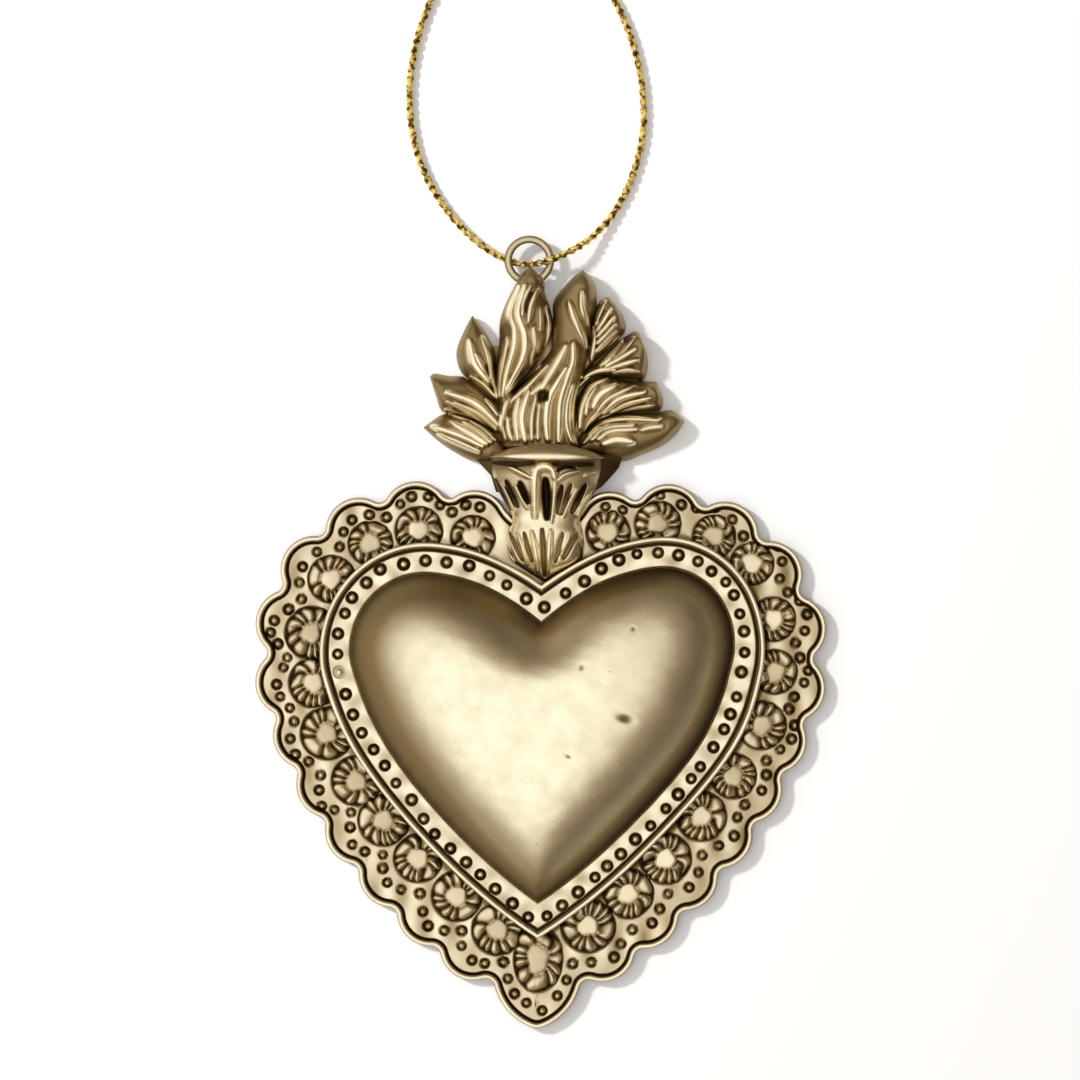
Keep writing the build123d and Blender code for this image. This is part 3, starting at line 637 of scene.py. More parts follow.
# The beaded band: a flat raised ledge of tinplate round the dome, punched with a row of dots.
# A groove runs along its outer edge, where the band wire lies.
BAND_TOP = 3.0
BAND_STEPS = 1900
WORN_DOT = 14
BAND_DOTS = [
    (0.4, 4.4), (-2, 5.5), (-4.6, 7.3), (-6.9, 8.5), (-9.6, 9.8), (-12.6, 10.2), (-15.4, 10.4),
    (-18.3, 9.9), (-21.4, 9.2), (-23.2, 7.4), (-25.1, 5.4), (-26, 3.3), (-26.9, 0.6), (-26.9, -2.1),
    (-26.7, -4.5), (-25.8, -7.4), (-24.8, -10.1), (-23.6, -12.5), (-22, -14.7), (-20.5, -16.8),
    (-19, -19.1), (-16.9, -21.3), (-15.3, -23.8), (-13.8, -25.8), (-11.7, -27.7), (-9.6, -29.5),
    (-7.7, -31.1), (-5.7, -33), (-3.4, -34.9), (-1.3, -36.7), (1.2, -36.5), (3.2, -35.1), (5.3, -33.3),
    (7.5, -31.3), (9.1, -29.8), (10.9, -28.2), (12.8, -26.2), (14.8, -24.4), (16.8, -22.1),
    (18.4, -20.2), (20.1, -18.1), (21.3, -16.5), (23, -13.9), (24.4, -11.5), (25.2, -9.5), (26, -7.2),
    (26.6, -3.9), (27, -1.3), (26.9, 1.5), (26.3, 3.8), (25.5, 6.3), (24.4, 8), (22.5, 9.4),
    (20.7, 10.7), (18.1, 11.5), (15.4, 11.8), (12.6, 11.6), (10.2, 10.8), (7.9, 9.6), (5.7, 7.9),
    (3.2, 6.3),
]
bead_spots = np.array(BAND_DOTS)
bead_sizes = chance.uniform(0.7, 0.86, len(bead_spots))
bead_force = chance.uniform(0.75, 1.05, len(bead_spots))
bead_force[WORN_DOT] = 0.35
band_way = np.linspace(0, 2, BAND_STEPS, endpoint=False)[:, None]
band_grow = np.linspace(0.05, 3.4, 42)
band_line = heart_at(band_way, band_grow)
band_relief, band_recess = punched(band_line, bead_spots, bead_sizes, bead_force)
channel = bell(band_grow - 3.15, 0.26)
lip = np.clip((0.3 - band_grow) / 0.25, 0, 1)
band_relief += 0.07 * uneven(band_line, 2.6, 9) - 0.4 * channel - 0.2 * lip**2
band_worn = 0.15 + 0.3 * uneven(band_line, 2.9, 10)
band_recess = np.maximum(np.maximum(band_recess, channel), band_worn)
band_sheet = raised(band_line, BAND_TOP + band_relief)
band_sheet, band_recess = closed_below(band_sheet, band_recess, BORDER_TOP)
band_gold = gold_material("band gold", (0.98, 0.87, 0.62), 0.30)
band = shells("band_sheet", band_sheet, True, band_recess, band_gold, "ornament")
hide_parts("beaded_band")


# The band wire: a wire bent along the band's outer edge and soldered down to the border.
# Its crest stands a little above the band and is rubbed bright; its foot is darkened with painted
# shadow.
ridge_way = np.linspace(0, 2, 1200, endpoint=False)[:, None]
RIDGE_PROFILE = np.array(
    [
        (4.1, 1.1), (4.08, 2.0), (4.06, 2.8), (4.0, 3.1), (3.88, 3.24), (3.58, 3.24),
        (3.46, 3.1), (3.4, 2.7), (3.36, 2.2), (3.36, 1.1),
    ]
)
RIDGE_PATINA_AND_SHADE = np.array([1, 1, 0.7, 0.2, 0, 0, 0.3, 1, 1, 1])
ridge_line = heart_at(ridge_way, RIDGE_PROFILE[:, 0])
ridge_height = RIDGE_PROFILE[:, 1] + 0.05 * uneven(ridge_line, 6.0, 11)
ridge_points = raised(ridge_line, ridge_height)
ridge = shells("band_ridge", ridge_points[None], True, RIDGE_PATINA_AND_SHADE, wire_gold, "ornament")
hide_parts("band_wire")


# The dome: a puffed shell pressed from one sheet, brushed smooth, with a few dents and specks.
# It rises steeply from the band and rounds over to a broad, nearly flat crown.
DOME_RISE = 7.5
DOME_STEPS = 560
DENTS = [
    (11.1, -9.9, 1.0, 0.5, 0.35),
    (5.3, -3.3, 0.3, 0.3, 0.12),
    (3.7, -14.9, 0.35, 0.2, 0.1),
    (12.0, 1.8, 0.3, 0.3, 0.1),
]


def depth_inside(points, edge):
    """Smooth depth inside a closed line: the sum of step over distance to the fourth power along
    the line, to the power of minus one third. It is 0 on the line and has no crease in the middle."""
    steps = np.roll(edge, -1, axis=0) - edge
    lengths = np.hypot(steps[:, 0], steps[:, 1])
    rows = []
    for row in points:
        away = ((row[:, None] - edge) ** 2).sum(axis=-1)
        rows.append((lengths / away**2).sum(axis=-1) ** (-1 / 3))
    return np.array(rows)


dome_edge = heart_at(np.linspace(0, 2, DOME_STEPS, endpoint=False), 0.0)
dome_inset = 0.003 + 0.992 * np.linspace(0, 1, 110) ** 1.7
dome_plan = dome_edge + dome_inset[:, None, None] * (HEART_MIDDLE - dome_edge)
dome_depth = depth_inside(dome_plan, heart_at(np.linspace(0, 2, 1600, endpoint=False), 0.0))
dome_depth /= dome_depth.max()
dome_share = 1 - (1 - dome_depth) ** 2
dome_points = raised(dome_plan, BAND_TOP + DOME_RISE * dome_share)
dome_x, dome_y = dome_plan[..., 0], dome_plan[..., 1]
# Painted shade darkens the foot, more broadly at the left and thinly over the right side, and darkens
# the right part a little.
dome_left = np.clip(-dome_x / 15, 0, 1)
dome_right = np.clip(dome_x / 15, 0, 1)
dome_shade_and_dents = 0.68 * bell(dome_depth, 0.36 + 0.11 * dome_left, 2 + dome_left)
dome_shade_and_dents += (0.2 + 0.1 * dome_right) * bell(dome_depth, 0.07 + 0.09 * dome_right, 2)
dome_shade_and_dents = np.maximum(dome_shade_and_dents, 0.24 * np.clip((dome_x - 4) / 13, 0, 1))
for x, y, long, short, deep in DENTS:
    pit = bell(dome_x - x, long, 2) * bell(dome_y - y + 0.25 * (dome_x - x), short, 2)
    dome_points[..., 2] -= deep * pit
    dome_shade_and_dents = np.maximum(dome_shade_and_dents, 0.8 * pit)
brushed = uneven(dome_points[..., :2] * [0.45, 1.0], 1.7, 22)
dome_points[..., 2] += (0.03 * uneven(dome_points[..., :2], 5.0, 21) + 0.013 * brushed) * dome_share
skirt = raised(dome_edge, PLATE_TOP)[None]
wall = skirt + np.array([0, 0, BAND_TOP - PLATE_TOP])
dome_gold = gold_material("dome gold", (1.0, 0.91, 0.65), 0.25)
dome = shells(
    "puffed_dome",
    np.concatenate([skirt, wall, dome_points])[None],
    False,
    np.concatenate([np.zeros((2, DOME_STEPS)), dome_shade_and_dents])[None],
    dome_gold,
    "ornament",
)
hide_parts("heart_dome")


# The urn: a half-round tinplate cup stamped with leaves, soldered in the cleft of the heart.
# Slots are pressed in along lines with ridges left between; leaves splay from the waist to a point.
URN_BACK = 1.6
STROKE_STEPS = 64
URN_SECTIONS = np.array(
    [
        (7.8, 0.3), (9.2, 2.6), (10.7, 4.7), (12.6, 5.1), (14.5, 4.9), (16.2, 4.5), (18.0, 5.4),
        (20.0, 6.5), (22.0, 7.2), (23.4, 7.5), (24.4, 7.5),
    ]
)
URN_SLOTS = [
    ([(0.35, 21.2), (0.5, 18.8), (0.6, 16.3)], 0.55, 1.3),
    ([(-3.0, 20.8), (-2.5, 19.5), (-2.0, 18.3)], 0.42, 0.9),
    ([(-4.8, 21.0), (-4.1, 19.4), (-3.3, 17.7)], 0.36, 0.8),
    ([(-6.2, 21.2), (-5.3, 19.2), (-4.4, 17.4)], 0.36, 0.7),
    ([(2.5, 20.4), (2.2, 18.8), (2.0, 17.0)], 0.36, 0.8),
    ([(3.7, 20.6), (3.1, 19.0), (2.4, 16.8)], 0.3, 0.7),
    ([(5.6, 20.6), (4.7, 18.8), (3.9, 17.0)], 0.42, 0.9),
    ([(-4.3, 14.3), (-3.5, 12.4), (-2.6, 10.6)], 0.26, 0.7),
    ([(-2.4, 14.2), (-1.9, 12.4), (-1.3, 10.4)], 0.26, 0.7),
    ([(0.0, 14.7), (0.2, 11.5), (0.4, 8.6)], 0.34, 0.8),
    ([(2.7, 14.2), (2.2, 12.4), (1.8, 10.4)], 0.28, 0.7),
    ([(4.6, 14.0), (3.6, 12.5), (2.9, 11.0)], 0.4, 0.7),
    ([(-4.9, 13.0), (-4.3, 11.8), (-3.6, 10.6)], 0.3, 0.5),
    ([(-6.6, 23.5), (-3.4, 23.3), (-1.2, 23.5)], 0.34, 0.3),
    ([(1.4, 23.4), (3.6, 23.3), (6.6, 23.4)], 0.34, 0.3),
    ([(1.9, 22.4), (2.9, 23.0), (4.2, 22.9)], 0.24, 0.5),
]
URN_RIDGES = [
    ([(-1.0, 16.4), (-1.1, 20.4), (-0.9, 22.4), (0.1, 23.0), (1.2, 22.6), (1.65, 21.4)], 0.62, 0.7),
    ([(1.65, 21.4), (1.5, 18.6), (1.2, 15.6)], 0.26, 0.5),
    ([(-4.3, 22.8), (-2.9, 22.1), (-1.5, 21.4)], 0.34, 0.65),
    ([(2.0, 21.1), (2.9, 21.9), (4.6, 22.4)], 0.3, 0.6),
    ([(5.6, 21.8), (6.3, 22.2), (7.0, 22.2)], 0.26, 0.4),
    ([(-3.7, 20.5), (-2.9, 19.0), (-2.0, 17.4)], 0.24, 0.55),
    ([(-5.5, 20.6), (-4.6, 18.8), (-3.7, 17.0)], 0.26, 0.55),
    ([(4.5, 20.0), (3.6, 18.3), (2.8, 16.4)], 0.26, 0.55),
    ([(6.4, 19.4), (5.5, 18.0), (4.8, 16.6)], 0.34, 0.6),
    ([(-3.3, 14.2), (-2.6, 12.2), (-1.9, 10.0)], 0.26, 0.4),
    ([(-1.4, 14.4), (-0.9, 12.0), (-0.5, 9.2)], 0.34, 0.5),
    ([(1.1, 14.5), (0.95, 12.0), (0.8, 9.2)], 0.34, 0.5),
    ([(3.6, 14.4), (3.4, 13.0), (2.6, 11.4)], 0.26, 0.5),
]


def through(knots, samples):
    """Smooth line through knots: cubic pieces whose slope at a knot follows its neighbours."""
    ends = np.concatenate([2 * knots[:1] - knots[1:2], knots, 2 * knots[-1:] - knots[-2:-1]])
    place = np.linspace(0, len(knots) - 1, samples)
    part = np.minimum(place.astype(int), len(knots) - 2)
    share = (place - part)[:, None]
    a, b, c, d = (ends[part + step] for step in range(4))
    slope = (c - a) * share
    bend = (2 * a - 5 * b + 4 * c - d) * share**2
    twist = (3 * b - a - 3 * c + d) * share**3
    return 0.5 * (2 * b + slope + bend + twist)


def drawn(points, strokes):
    """Height of strokes along smooth lines, rounded across and tapered to both ends, and how deep
    a point lies in the groove between two strokes that run side by side."""
    height = np.zeros(points.shape[:-1])
    near = np.zeros(points.shape[:-1])
    for knots, half_width, tall in strokes:
        line = through(np.array(knots), STROKE_STEPS)
        close = ((points > line.min(axis=0) - 1.5) & (points < line.max(axis=0) + 1.5)).all(axis=-1)
        gap, step = nearest(points[close], line)
        to_end = STROKE_STEPS - 1 - step
        taper = half_width * (0.56 + 0.42 * np.sin(np.pi * step / (STROKE_STEPS - 1)) ** 0.6)
        height[close] = np.maximum(height[close], tall * bell(gap, taper, 3))
        near[close] += bell(gap, 0.75) * np.clip(np.minimum(step, to_end) / 10, 0, 1)
    return height, np.clip(near - 1, 0, 1)


urn_rows = through(URN_SECTIONS, 190)
urn_turn = np.linspace(-np.pi / 2, np.pi / 2, 120)
urn_half = np.clip(urn_rows[:, 1:], 0.2, None)
urn_x = 0.5 + urn_half * np.sin(urn_turn)
urn_plan = np.stack([urn_x, np.broadcast_to(urn_rows[:, :1], urn_x.shape)], axis=-1)
urn_slot = drawn(urn_plan, URN_SLOTS)[0]
urn_relief = drawn(urn_plan, URN_RIDGES)[0] - urn_slot
urn_relief *= np.clip((np.pi / 2 - np.abs(urn_turn)) * 4, 0, 1)
urn_depth = 0.62 * urn_half * np.cos(urn_turn) + URN_BACK + urn_relief
urn_gold = gold_material("urn gold", (1.0, 0.88, 0.61), 0.28)
urn_low = 1 - np.clip(urn_relief / 0.5, 0, 1)
urn_cup = np.clip((urn_plan[..., 1] - 17) / 2, 0, 1) * urn_low
# Painted shadow under the lip; the cup's upper part is darker where no ridge stands.
shadow_under_lip = np.clip((urn_plan[..., 1] - 21.8) / 1.2, 0, 1) * urn_low
urn_patina_and_shade = np.clip(0.8 * urn_slot + 0.34 * urn_cup + 0.4 * shadow_under_lip, 0, 1)
urn_points = raised(urn_plan, urn_depth)
urn = shells("leafy_urn", urn_points[None], False, urn_patina_and_shade[None], urn_gold, "ornament")
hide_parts("urn")


# The urn's lip: a smooth rolled rim, lens-shaped from the front, soldered over the cup.
# Its crest lies low, near the cup; from there it falls away gently to the flame behind.
LIP_PROFILE = np.array(
    [
        (0, 0), (0, 0.5), (0, 0.86), (0.06, 0.96), (0.2, 1.0), (0.4, 0.99),
        (0.65, 0.93), (0.88, 0.82), (1, 0.68), (1, 0),
    ]
)
LIP_MIDDLE = 0.6
LIP_HALF_WIDTH = 7.8
LIP_RISE = 5.3
LIP_ROUNDNESS = 2.6
lip_x = np.linspace(-0.998, 0.998, 110)[:, None]
lip_profile = through(LIP_PROFILE, 44)
lip_foot = 23.7 + 0.5 * lip_x**2
lip_top = 26.0 - 1.7 * lip_x**2
lip_y = lip_foot + (lip_top - lip_foot) * lip_profile[:, 0]
lip_arch = (1 - np.abs(lip_x) ** LIP_ROUNDNESS) ** (1 / LIP_ROUNDNESS)
lip_z = URN_BACK + LIP_RISE * lip_arch * lip_profile[:, 1]
lip_across = np.broadcast_to(LIP_MIDDLE + LIP_HALF_WIDTH * lip_x, lip_y.shape)
lip_points = np.stack([lip_across, lip_y, lip_z], axis=-1)
# Painted highlight along the crest, and painted shade over the rest of the lip and towards its ends.
lip_painted_highlight = bell(lip_profile[:, 0] - 0.22, 0.17)
lip_painted_shade_and_highlight = 0.5 - 0.5 * lip_painted_highlight * np.clip((0.78 - np.abs(lip_x)) / 0.15, 0, 1)
urn_lip = shells(
    "rolled_lip", lip_points[None], False, lip_painted_shade_and_highlight[None], urn_gold, "ornament"
)
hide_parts("urn_lip")


# The flame: nine tongues stamped in one sheet, fanning out from the urn's lip, the middle two in front.
# Each runs between two edges up to a smooth tip, and combed strands are drawn along it.
TONGUES = [
    (
        [(-6.4, 23.4), (-9.3, 23.7), (-12.0, 25.0), (-14.2, 26.5), (-16.0, 28.1)],
        [(-4.6, 25.6), (-7.0, 28.0), (-9.4, 29.4), (-12.0, 30.0), (-13.6, 29.8), (-15.2, 28.7),
         (-16.0, 28.1)],
        (1.5, 1.5),
    ),
    (
        [(-5.2, 26.6), (-7.5, 28.2), (-9.6, 29.2), (-11.6, 29.9), (-13.5, 30.3), (-14.3, 32.2),
         (-15.2, 34.9)],
        [(-5.3, 31.4), (-7.0, 32.5), (-8.8, 33.9), (-10.6, 34.9), (-12.6, 35.0), (-14.5, 35.3),
         (-15.2, 34.9)],
        (1.8, 1.6),
    ),
    (
        [(-5.7, 30.6), (-8.2, 33.1), (-10.6, 35.0), (-11.5, 36.7), (-11.6, 38.6), (-10.6, 41.2),
         (-9.6, 43.1)],
        [(-5.3, 30.4), (-5.8, 33.5), (-6.2, 36.0), (-6.4, 38.0), (-7.1, 39.6), (-8.4, 41.7),
         (-9.6, 43.1)],
        (1.9, 1.7),
    ),
    (
        [(5.6, 24.8), (8.4, 24.4), (10.8, 23.9), (13.2, 24.8), (15.8, 26.0), (17.7, 27.6),
         (18.8, 29.3)],
        [(4.6, 26.2), (6.6, 28.8), (9.5, 30.1), (12.5, 30.5), (15.5, 30.6), (17.2, 30.7), (18.8, 29.3)],
        (1.5, 1.8),
    ),
    (
        [(4.6, 26.0), (6.5, 28.6), (9.5, 30.0), (12.5, 30.4), (15.2, 30.5), (15.9, 32.0), (15.0, 34.5)],
        [(4.0, 26.8), (4.1, 30.0), (4.8, 33.0), (6.6, 34.9), (9.0, 35.2), (11.2, 34.7),
         (13.4, 34.6), (15.0, 34.5)],
        (1.8, 1.7),
    ),
    (
        [(4.4, 33.0), (6.4, 34.8), (9.0, 35.1), (11.4, 34.7), (13.3, 34.8), (13.8, 37.4), (12.6, 41.0)],
        [(4.6, 33.8), (5.6, 36.0), (7.2, 37.2), (8.8, 38.7), (10.4, 40.2), (11.8, 41.1), (12.6, 41.0)],
        (1.9, 1.7),
    ),
    (
        [(5.4, 35.4), (7.2, 37.4), (9.4, 39.6), (10.8, 41.4), (10.2, 43.6), (8.5, 45.7)],
        [(4.8, 35.8), (5.6, 39.0), (6.1, 41.6), (6.6, 43.6), (7.4, 45.2), (8.5, 45.7)],
        (2.1, 1.7),
    ),
    (
        [(-2.6, 27.0), (-4.0, 31.0), (-3.4, 33.6), (-1.4, 36.4), (0.3, 39.0), (1.1, 41.8),
         (0.7, 44.2), (0.0, 46.2), (-0.2, 47.9), (-2.0, 49.5)],
        [(-5.4, 26.0), (-6.0, 30.0), (-6.3, 33.5), (-6.3, 37.0), (-6.0, 39.4), (-5.9, 42.4),
         (-5.0, 45.0), (-3.9, 47.2), (-3.2, 48.5), (-2.0, 49.5)],
        (2.6, 1.7),
    ),
    (
        [(4.9, 25.6), (4.4, 29.0), (4.4, 32.0), (5.2, 34.8), (5.9, 37.0), (6.2, 40.0),
         (6.2, 42.0), (6.9, 44.4), (6.6, 47.4), (5.0, 49.3)],
        [(-5.4, 25.6), (-5.8, 28.5), (-5.2, 31.4), (-2.9, 34.2), (-0.4, 36.8), (1.0, 39.0),
         (1.2, 42.0), (1.2, 45.0), (3.2, 47.7), (5.0, 49.3)],
        (2.8, 1.9),
    ),
]
STRANDS = [
    ([(-8.4, 24.9), (-11.2, 26.1), (-13.9, 27.2)], 0.47, 0.7),
    ([(-8.0, 25.6), (-11.0, 27.0), (-14.7, 28.2)], 0.58, 0.8),
    ([(-7.5, 26.0), (-9.6, 27.4), (-12.0, 28.8)], 0.78, 0.8),
    ([(-6.9, 26.2), (-8.4, 27.6), (-10.6, 28.9)], 0.51, 0.7),
    ([(-6.3, 26.5), (-7.9, 28.1), (-9.7, 29.1)], 0.43, 0.7),
    ([(-6.0, 28.4), (-8.9, 31.2), (-12.9, 32.7)], 0.66, 0.9),
    ([(-6.3, 27.8), (-8.8, 29.9), (-11.8, 31.3)], 0.51, 0.7),
    ([(-6.6, 27.3), (-9.2, 29.4), (-12.7, 31.5)], 0.47, 0.7),
    ([(-8.2, 28.7), (-10.3, 29.5), (-12.9, 30.4)], 0.47, 0.6),
    ([(-6.1, 29.8), (-6.9, 31.0), (-7.7, 31.9)], 0.47, 0.7),
    ([(-7.3, 34.2), (-9.2, 36.6), (-9.9, 39.4)], 0.66, 0.8),
    ([(-7.6, 34.9), (-8.4, 36.4), (-9.1, 37.8)], 0.51, 0.7),
    ([(-6.9, 34.6), (-7.2, 37.4), (-8.2, 40.0)], 0.55, 0.7),
    ([(-6.5, 32.2), (-7.9, 33.5), (-9.6, 34.7)], 0.51, 0.7),
    ([(-6.2, 32.0), (-6.6, 34.6), (-6.9, 37.0)], 0.43, 0.6),
    ([(-6.1, 32.3), (-6.0, 34.8), (-5.5, 37.2), (-4.9, 39.7)], 0.55, 0.7),
    ([(-5.5, 32.3), (-5.0, 35.2), (-4.1, 38.6), (-4.0, 41.0), (-4.6, 43.4), (-3.4, 46.8)], 0.58, 0.8),
    ([(-4.9, 33.1), (-3.6, 35.2), (-2.6, 37.6), (-2.6, 40.4), (-3.6, 43.4), (-2.7, 46.8)], 0.74, 0.8),
    ([(-2.9, 43.0), (-2.8, 44.8), (-1.9, 46.8)], 0.39, 0.6),
    ([(-2.1, 42.1), (-1.8, 44.2), (-0.9, 46.4)], 0.47, 0.7),
    ([(-1.6, 36.0), (-1.4, 37.6), (-1.2, 38.8)], 0.43, 0.6),
    ([(-0.7, 38.2), (-0.9, 39.6), (-1.4, 41.2)], 0.78, 0.6),
    ([(-0.5, 41.0), (-0.4, 42.4), (-0.6, 43.8)], 0.39, 0.5),
    ([(-1.4, 36.4), (0.4, 38.6), (0.9, 41.2), (0.3, 44.0)], 0.47, 0.7),
    ([(-5.0, 32.6), (-3.0, 34.5), (-0.6, 36.6)], 0.39, 0.6),
    ([(-5.1, 26.6), (-5.6, 28.4), (-5.4, 30.0), (-4.6, 31.6), (-2.0, 33.9), (0.4, 36.4)], 0.51, 0.8),
    ([(-4.1, 26.4), (-4.6, 27.8), (-4.7, 29.4)], 0.51, 0.7),
    ([(-3.4, 26.5), (-3.8, 29.4), (-3.3, 32.2)], 0.58, 0.7),
    ([(-2.4, 26.4), (-2.9, 29.6), (-2.0, 33.0)], 0.66, 0.8),
    ([(-1.5, 26.5), (-1.5, 29.4), (-1.0, 32.2)], 0.47, 0.6),
    ([(-0.7, 26.6), (-0.7, 29.0), (-0.5, 31.2)], 0.43, 0.6),
    ([(-1.6, 32.6), (0.6, 34.6), (1.8, 36.4)], 0.66, 0.6),
    ([(-0.2, 33.4), (1.2, 36.0), (2.8, 38.9)], 0.80, 0.7),
    ([(0.6, 26.6), (0.4, 29.0), (0.7, 31.8), (1.8, 34.0), (3.0, 36.0)], 0.66, 0.8),
    ([(2.1, 26.3), (2.2, 29.0), (2.4, 31.6), (3.2, 34.4), (3.9, 36.8), (3.8, 39.2)], 0.66, 0.9),
    ([(3.9, 26.3), (3.3, 28.6), (3.4, 31.4), (4.0, 33.8)], 0.58, 0.8),
    ([(4.4, 26.2), (4.0, 28.4), (4.1, 31.0), (4.7, 33.4), (6.0, 34.8)], 0.51, 0.7),
    ([(5.7, 38.9), (5.2, 40.2), (3.9, 42.6), (3.2, 44.6)], 0.58, 0.7),
    ([(6.3, 41.6), (5.7, 42.4), (5.0, 44.0), (4.8, 46.0)], 0.51, 0.7),
    ([(8.0, 26.1), (9.8, 26.7), (11.8, 26.4)], 0.80, 0.8),
    ([(7.3, 26.7), (9.0, 27.9), (12.4, 28.1)], 0.55, 0.7),
    ([(6.4, 26.6), (8.2, 28.3), (12.0, 28.7)], 0.47, 0.7),
    ([(5.9, 27.3), (7.9, 29.2), (11.0, 29.7), (15.3, 29.4)], 0.58, 0.8),
    ([(13.0, 28.0), (14.2, 28.4), (15.6, 28.5)], 0.58, 0.6),
    ([(5.3, 26.2), (6.8, 27.9), (8.7, 28.8)], 0.43, 0.7),
    ([(6.6, 31.0), (7.5, 32.7), (9.5, 34.0)], 0.80, 0.8),
    ([(7.0, 30.0), (8.6, 32.0), (11.9, 33.8)], 0.47, 0.7),
    ([(8.0, 30.2), (10.2, 32.1), (13.3, 33.0)], 0.58, 0.8),
    ([(9.0, 30.2), (11.0, 31.3), (14.0, 32.2)], 0.47, 0.7),
    ([(9.6, 30.0), (12.0, 30.7), (14.4, 31.2)], 0.47, 0.6),
    ([(5.6, 27.8), (6.6, 29.4), (7.6, 30.4)], 0.47, 0.7),
    ([(4.8, 28.2), (5.0, 31.0), (6.2, 33.7), (8.4, 34.9)], 0.51, 0.8),
    ([(5.6, 30.0), (5.9, 32.0), (7.0, 33.9)], 0.47, 0.7),
    ([(5.2, 34.9), (7.4, 35.8), (9.4, 35.8)], 0.47, 0.7),
    ([(7.5, 36.7), (8.7, 38.1), (10.0, 40.0)], 0.80, 0.8),
    ([(8.2, 36.4), (10.2, 37.6), (12.0, 38.7)], 0.55, 0.7),
    ([(9.4, 37.5), (10.8, 38.9), (11.8, 40.2)], 0.47, 0.6),
    ([(8.6, 36.0), (10.6, 36.7), (12.3, 37.2)], 0.51, 0.7),
    ([(9.2, 35.4), (11.0, 35.8), (12.3, 35.7)], 0.51, 0.7),
    ([(6.7, 42.0), (7.2, 43.6), (7.9, 45.0)], 0.51, 0.7),
    ([(6.9, 41.1), (7.9, 42.6), (8.7, 43.9)], 0.47, 0.7),
    ([(7.0, 40.3), (8.2, 41.6), (9.1, 42.8)], 0.47, 0.7),
    ([(7.0, 39.4), (8.2, 40.5), (9.3, 41.8)], 0.47, 0.7),
    ([(6.9, 38.3), (8.0, 39.3), (9.4, 40.8)], 0.51, 0.7),
    ([(6.3, 37.2), (6.5, 39.4), (6.3, 41.6)], 0.47, 0.6),
]
TONGUE_ROWS = 148
LEFT_TONGUE = 7
EDGE_DROP = 0.7
DENT = np.array([0.0, 32.3])
tongue_across = np.linspace(0, 1, 70)[None]
bow = (1 - np.abs(2 * tongue_across - 1) ** 2.4) ** 0.75
plans = []
tops = []
for one_edge, other_edge, (base, crown) in TONGUES:
    one = through(np.array(one_edge), TONGUE_ROWS + 2)[:-2, None]
    other = through(np.array(other_edge), TONGUE_ROWS + 2)[:-2, None]
    plans.append(one + (other - one) * tongue_across[..., None])
    breadth = np.hypot(*(other - one)[:, 0].T)[:, None]
    tops.append(base - EDGE_DROP + (EDGE_DROP + crown) * bow * np.clip(breadth / 4, 0, 1) ** 0.5)
plans = np.array(plans)
strand, groove = drawn(plans, STRANDS)
dent = bell(plans - DENT, 0.62, 6).prod(axis=-1)
tops = np.array(tops) + strand - 0.7 * dent
tongue_recess = np.maximum((0.63 + 1.2 * groove) * (1 - np.clip(strand / 0.75, 0, 1)), dent)
tongue_recess = np.clip(tongue_recess, 0, 0.95)
# The left tongue's tip lies over the ring's wire.
lift = np.zeros((len(TONGUES), TONGUE_ROWS, 2))
lift[LEFT_TONGUE] = 2.0 * np.clip((plans[LEFT_TONGUE, :, [0, -1], 1].T - 46.2) / 0.6, 0, 1)
tops = np.maximum(tops, PLATE_TOP + lift[..., :1] + 0.3)
flame_bottom = raised(plans[:, :, [-1, 0]], PLATE_TOP + lift)
flame_points = np.concatenate([raised(plans, tops), flame_bottom], axis=2)
tongue_recess = np.concatenate([tongue_recess, np.zeros(lift.shape)], axis=2)
flame_gold = gold_material("flame gold", (1.0, 0.88, 0.61), 0.27)
flame = shells("flame_tongues", flame_points, False, tongue_recess, flame_gold, "ornament")
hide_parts("flame")


# The back of the flame: the flat sheet from which the tongues are raised, brown between them.
# It runs down behind the urn as a neck, soldered to the border.
FLAME_BACK = [
    (-6.2, 19.6), (-6.9, 21.8), (-8.4, 23.4), (-9.4, 24.4), (-12.5, 26.2), (-14.6, 28.2), (-12.6, 29.8),
    (-13.6, 33.4), (-10.6, 34.4), (-10.6, 38.0), (-9.4, 41.5), (-7.2, 39.0), (-5.4, 39.0), (-4.5, 44.0),
    (-2.4, 46.0), (-0.6, 45.6), (0.6, 42.0), (2.0, 44.5), (4.6, 48.0), (5.8, 45.0), (6.6, 42.5),
    (8.0, 44.3), (9.6, 41.5), (10.2, 39.0), (12.0, 40.0), (12.8, 36.0), (12.4, 34.2), (14.3, 33.4),
    (14.6, 31.0), (17.2, 29.3), (14.0, 26.0), (10.5, 24.2), (10.1, 23.0), (8.9, 21.6), (7.9, 20.5),
    (6.6, 19.6),
]
back_middle = np.array([0.0, 30.0])
back_spread = np.array([0.01, 1.0, 1.0, 0.01])[:, None, None]
back_plan = back_middle + (np.array(FLAME_BACK) - back_middle) * back_spread
back_heights = np.array([PLATE_TOP + 0.1, PLATE_TOP + 0.1, 1.65, 1.65])[:, None]
flame_back = raised(back_plan, back_heights)
# Painted shadow: the neck below the lip is darker than the rest of the back.
back_tone_and_neck_shadow = np.where(back_plan[..., 1] < 24.5, 0.8, 0.5)
shells("flame_back", flame_back[None], False, back_tone_and_neck_shadow, flame_gold, "ornament")


